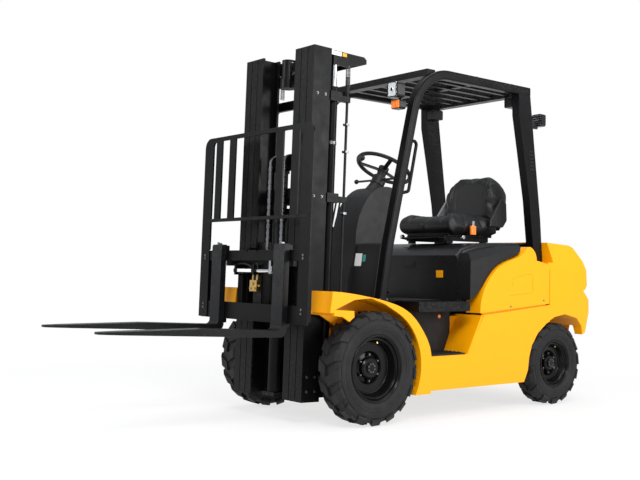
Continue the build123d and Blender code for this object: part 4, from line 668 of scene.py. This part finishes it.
def dress_cab():
    b = Build()
    for side in (1, -1):
        for i in range(5):
            for k in range(10):
                c = at(side * (0.382 + 0.034 * i), 0.462 + 0.028 * k, 0.3885)
                b.rod(c, (c[0], c[1], c[2] + 0.0035), 0.0052, r2=0.0032, seg=8)
    b.piece("step_studs", "truck", STEP, bevel=0)
    b = Build()
    for i in range(19):
        x = -0.306 + 0.034 * i
        b.box(x - 0.006, x + 0.006, 0.420, 0.766, 0.7000, 0.7035)
    b.piece("floor_mat_ribs", "truck", STEP, bevel=0.0008)
    plate("dash_plate", "truck", PLATE, (0.118, 0.178, 0.2052, 0.2078, 0.906, 0.984), 0.0008,
          turn=DASH_LEAN)
    plate("dash_plate_teal", "truck", TEAL, (0.188, 0.212, 0.2068, 0.2094, 0.934, 0.976), 0.0008,
          turn=DASH_LEAN)
    b = Build()
    for i in range(4):
        x = -0.306 + 0.010 + 0.038 * i
        b.rod(at(x, 0.290, 1.128), at(x, 0.284, 1.158), 0.015, r2=0.008, seg=20)
        for k in range(3):
            b.rod(at(x, 0.2885 - 0.002 * k, 1.134 + 0.007 * k),
                  at(x, 0.2882 - 0.002 * k, 1.137 + 0.007 * k), 0.0155 - 0.002 * k, seg=20)
    b.piece("lever_boots", "truck", HOSE, bevel=0.0006)
    b = Build()
    turn = Matrix.Rotation(math.radians(-40), 4, "X")
    for x, half in ((0.150, 0.032), (-0.190, 0.032), (0.230, 0.028)):
        for k in range(4):
            c = Vector((x, 0.352, 0.766)) + turn @ Vector((0, -0.022 + 0.014 * k, 0.0055))
            b.box(c.x - half, c.x + half, c.y - 0.002, c.y + 0.002, c.z - 0.0015, c.z + 0.0015,
                  turn)
    b.piece("pedal_pad_ribs", "truck", STEP, bevel=0.0004)
    b = Build()
    # Amber marker with a painted glow from the lens material's emission, though it is no lamp
    b.rod(at(INNER_WALL + 0.010, *MARKER), at(INNER_WALL + 0.014, *MARKER), 0.011, seg=20)
    b.piece("step_wall_marker", "truck", AMBER_PAINTED_GLOW, bevel=0.0008)


dress_cab()


# Guard, bonnet and cover trim, and the bare plates at the top of the mast and on the bonnet

def dress_body():
    b = Build()
    for side in (1, -1):
        for k in range(6):
            y, z = 1.472 - 0.0030 * k, 1.578 + 0.024 * k
            b.box(side * 0.4555, side * 0.4588, y, y + 0.049, z, z + 0.010)
    b.piece("post_louvres", "truck", LAMP_CASE, bevel=0.0008)
    b = Build()
    for side in (1, -1):
        for y in (0.108, 0.164):
            for x in (0.405, 0.449):
                bolt(b, at(side * x, y, 0.709), (0, 0, 1), 0.0065, 0.008)
    b.piece("guard_foot_bolts", "truck", STEEL, bevel=0.0005)
    b = Build()
    for side in (1, -1):
        for y in (0.950, 1.300):
            bolt(b, at(side * 0.432, y, 2.1345), (0, 0, 1), 0.0065, 0.006)
    b.piece("guard_roof_bolts", "truck", STEEL, bevel=0.0005)
    b = Build()
    b.box(-0.055, 0.055, 0.7885, 0.7925, 0.905, 0.945)
    b.box(-0.040, 0.040, 0.784, 0.790, 0.912, 0.924)
    b.piece("bonnet_latch", "bonnet", LAMP_CASE, bevel=0.0012)
    b = Build()
    for side in (1, -1):
        bolt(b, at(side * 0.5600, 1.160, 0.664), (side, 0, 0), 0.005, 0.004)
        bolt(b, at(side * 0.5600, 1.500, 0.700), (side, 0, 0), 0.005, 0.004)
    b.piece("cover_screws", "truck", STEEL, bevel=0.0004)
    plate("mast_top_plate", "mast_middle", PLATE,
          (0.3248, 0.3262, -0.243, -0.156, 2.119, 2.143), 0.0004, lean=True)
    plate("mast_top_plate_yellow", "mast_middle", YELLOW,
          (0.3248, 0.3262, -0.148, -0.115, 2.121, 2.141), 0.0004, lean=True)
    plate("bonnet_plate_yellow", "bonnet", YELLOW,
          (0.250, 0.308, 0.7882, 0.7912, 0.843, 0.889), 0.0006)


dress_body()


# Seat: cushions blown up as cloth, with side bolsters and a seam beside the middle panel

CLOTH = {"tension_stiffness": 40, "compression_stiffness": 40, "bending_stiffness": 4,
         "mass": 0.4, "use_pressure": True, "uniform_pressure_force": 4.0}
CLOTH_FRAMES = 20
CLOTH_CAP = 0.022


def settle(o):
    """Blow one closed mesh up with cloth pressure and keep no point further than the cap."""
    scene = bpy.context.scene
    rest = [v.co.copy() for v in o.data.vertices]
    cloth = o.modifiers.new("cloth", "CLOTH")
    for key, value in CLOTH.items():
        setattr(cloth.settings, key, value)
    cloth.settings.effector_weights.gravity = 0
    cloth.point_cache.frame_start, cloth.point_cache.frame_end = 1, CLOTH_FRAMES
    for f in range(1, CLOTH_FRAMES + 1):
        scene.frame_set(f)
    moved = evaluated(o)
    for v, r, m in zip(o.data.vertices, rest, moved.vertices):
        step = m.co - r
        if step.length > CLOTH_CAP:
            step *= CLOTH_CAP / step.length
        v.co = r + step
    bpy.data.meshes.remove(moved)
    scene.frame_set(1)


def evaluated(o):
    """Mesh of the object with its modifiers, which are then taken off."""
    graph = bpy.context.evaluated_depsgraph_get()
    mesh = bpy.data.meshes.new_from_object(o.evaluated_get(graph))
    o.modifiers.clear()
    return mesh


def ramp01(value, low, high):
    t = max(0.0, min(1.0, (value - low) / (high - low)))
    return t * t * (3 - 2 * t)


SEAT_HALF = 0.245
PANEL_HALF = 0.150
CUSHION_FRONT = 0.905
BACK_FOOT = 1.205
BACK_TOP = 1.574
VOXEL = 0.006
INSET = 0.975
SEAM_DEPTH = 0.010
SEAM_WIDTH = 0.007
# How far the side bolsters rise and the middle panel sinks, on the cushion and on the back
CUSHION_RISE, CUSHION_SINK = 0.014, 0.008
BACK_RISE, BACK_SINK = 0.026, 0.012


def seams(x):
    """How deep the two seams beside the middle panel are at x."""
    return sum(SEAM_DEPTH * math.exp(-((x - line) / SEAM_WIDTH) ** 2)
               for line in (-PANEL_HALF, PANEL_HALF))


def shape_cushion(p):
    y = p.y - AXLE_Y
    top = ramp01(p.z, 1.185, 1.225)
    side = ramp01(abs(p.x), PANEL_HALF - 0.010, PANEL_HALF + 0.045)
    away = ramp01(y, CUSHION_FRONT, CUSHION_FRONT + 0.10)
    p.z += top * away * (CUSHION_RISE * side - CUSHION_SINK * (1 - side))
    p.z -= top * seams(p.x)
    return p


def shape_back(p):
    y = p.y - AXLE_Y
    up = (p.z - BACK_FOOT) / (BACK_TOP - BACK_FOOT)
    front = 1 - ramp01(y, 1.400, 1.450)
    side = ramp01(abs(p.x), PANEL_HALF - 0.020, PANEL_HALF + 0.050)
    waist = math.sin(math.pi * max(0.0, min(1.0, up)))
    p.y -= front * waist * (BACK_RISE * side - BACK_SINK * (1 - side))
    p.x *= 1 - 0.05 * waist
    p.y += front * seams(p.x)
    return p


def upholster(name, node, shape, mat):
    """Padded copy of a CAD soft solid."""
    source = frame["nodes"][node]
    o = bpy.data.objects.new(name, source.data.copy())
    bpy.context.scene.collection.objects.link(o)
    o.data.transform(source.matrix_world)
    centre = sum((v.co for v in o.data.vertices), Vector()) / len(o.data.vertices)
    for v in o.data.vertices:
        v.co = centre + (v.co - centre) * INSET
    remesh = o.modifiers.new("remesh", "REMESH")
    remesh.mode, remesh.voxel_size = "VOXEL", VOXEL
    o.data = evaluated(o)
    settle(o)
    relax = o.modifiers.new("relax", "SMOOTH")
    relax.factor, relax.iterations = 0.5, 14
    o.data = evaluated(o)
    for v in o.data.vertices:
        v.co = shape(v.co.copy())
    o.data.materials.clear()
    o.data.materials.append(mat)
    o.data.shade_smooth()
    smooth = o.modifiers.new("smooth", "SUBSURF")
    smooth.levels = smooth.render_levels = 1
    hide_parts(node)
    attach(o, "bonnet")
    return o


upholster("seat_cushion_padded", "seat_cushion", shape_cushion, VINYL)
upholster("seat_back_padded", "seat_back", shape_back, VINYL)


# Outline of a hip restraint: y from the front axle's line, and z
RESTRAINT = ((1.290, 1.190), (1.430, 1.190), (1.470, 1.240), (1.462, 1.360), (1.415, 1.390),
             (1.350, 1.310), (1.300, 1.240))


def dress_seat():
    for (word, side), mat in zip(SIDES, (VINYL, VINYL_GREY)):
        b = Build()
        x = side * (SEAT_HALF + 0.004)
        b.prism(RESTRAINT, x, x + side * 0.020)
        b.piece(f"hip_restraint_{word}", "bonnet", mat, bevel=0.008)
    # The buckle takes the amber lens material, so it has a painted glow although it is no lamp
    plate("belt_buckle", "bonnet", AMBER_PAINTED_GLOW, (0.252, 0.270, 1.105, 1.150, 1.130, 1.190), 0.004)
    b = Build()
    b.box(0.257, 0.265, 1.118, 1.138, 1.190, 1.222)
    b.rod(at(0.250, 1.030, 1.110), at(0.268, 1.030, 1.110), 0.013, seg=24)
    b.rod(at(-0.250, 0.980, 1.120), at(-0.268, 0.980, 1.120), 0.016, seg=24)
    b.piece("seat_metalwork", "bonnet", CHROME, bevel=0.001)


dress_seat()


# Floor, backdrop and light

FLOOR_SIZE = 60
FLOOR_Z = -0.0005
FLOOR_GREYS = (0.80, 0.83)
SKY = (0.93, 0.96, 1.0, 1)
SKY_STRENGTH = 0.55
WHITE = (1, 1, 1, 1)
# The floor fades to pure white between these distances from the truck
FADE = {"From Min": 1.6, "From Max": 4.2, "To Min": 0.72, "To Max": 1.0}
# Place, target, size in metres and watts
LAMPS = {"key": ((4.5, -3.0, 4.8), (0, 0, 0.9), (3.0, 2.0), 300),
         "side": ((5.5, 3.0, 2.4), (0, 0.4, 0.8), (3.0, 2.5), 190),
         "front": ((-2.5, -5.5, 3.0), (0, -0.3, 1.0), (2.5, 2.5), 160),
         "top": ((0, 0.5, 6.0), (0, 0.2, 1.0), (4.0, 4.0), 150)}


def make_floor():
    bpy.ops.mesh.primitive_plane_add(size=FLOOR_SIZE, location=(0, 0, FLOOR_Z))
    floor = bpy.context.object
    floor.name = "floor"
    m = Mat("floor_white")
    path = m.node("ShaderNodeLightPath")
    m.put("Base Color", m.ramp(m.noise(0.8, 2), 0.3, FLOOR_GREYS[0], 0.7, FLOOR_GREYS[1]))
    m.put("Roughness", 0.85)
    glow = m.node("ShaderNodeEmission", {"Color": WHITE})
    mix = m.node("ShaderNodeMixShader")
    reach = m.node("ShaderNodeVectorMath", operation="LENGTH")
    m.link(m.coord.outputs["Object"], reach.inputs[0])
    far = m.node("ShaderNodeMapRange", FADE, interpolation_type="SMOOTHSTEP")
    m.link(reach.outputs["Value"], far.inputs["Value"])
    share = m.node("ShaderNodeMath", operation="MULTIPLY")
    m.link(far.outputs["Result"], share.inputs[1])
    seen = m.node("ShaderNodeMath", operation="MAXIMUM")
    m.link(path.outputs["Is Camera Ray"], seen.inputs[0])
    m.link(path.outputs["Is Glossy Ray"], seen.inputs[1])
    m.link(seen.outputs[0], share.inputs[0])
    m.link(share.outputs[0], mix.inputs[0])
    m.link(m.bsdf.outputs[0], mix.inputs[1])
    m.link(glow.outputs[0], mix.inputs[2])
    out = m.tree.nodes["Material Output"]
    m.link(mix.outputs[0], out.inputs["Surface"])
    floor.data.materials.append(m.mat)


def make_sky():
    """White to the camera, and a dimmer, cooler light on everything else."""
    world = bpy.data.worlds.new("studio")
    world.use_nodes = True
    bpy.context.scene.world = world
    t = world.node_tree
    soft = t.nodes["Background"]
    soft.inputs["Color"].default_value = SKY
    soft.inputs["Strength"].default_value = SKY_STRENGTH
    white = t.nodes.new("ShaderNodeBackground")
    white.inputs["Color"].default_value = WHITE
    white.inputs["Strength"].default_value = 1.0
    path = t.nodes.new("ShaderNodeLightPath")
    seen = t.nodes.new("ShaderNodeMath")
    seen.operation = "MAXIMUM"
    mix = t.nodes.new("ShaderNodeMixShader")
    t.links.new(path.outputs["Is Camera Ray"], seen.inputs[0])
    t.links.new(path.outputs["Is Transmission Ray"], seen.inputs[1])
    t.links.new(seen.outputs[0], mix.inputs[0])
    t.links.new(soft.outputs[0], mix.inputs[1])
    t.links.new(white.outputs[0], mix.inputs[2])
    t.links.new(mix.outputs[0], t.nodes["World Output"].inputs["Surface"])


def lamp(name, place, target, size, power):
    data = bpy.data.lights.new(name, "AREA")
    data.shape = "RECTANGLE"
    data.size, data.size_y = size
    data.energy = power
    o = bpy.data.objects.new(name, data)
    o.location = place
    o.rotation_mode = "QUATERNION"
    o.rotation_quaternion = (Vector(target) - Vector(place)).to_track_quat("-Z", "Y")
    bpy.context.scene.collection.objects.link(o)


make_floor()
make_sky()
for name, setting in LAMPS.items():
    lamp(name, *setting)
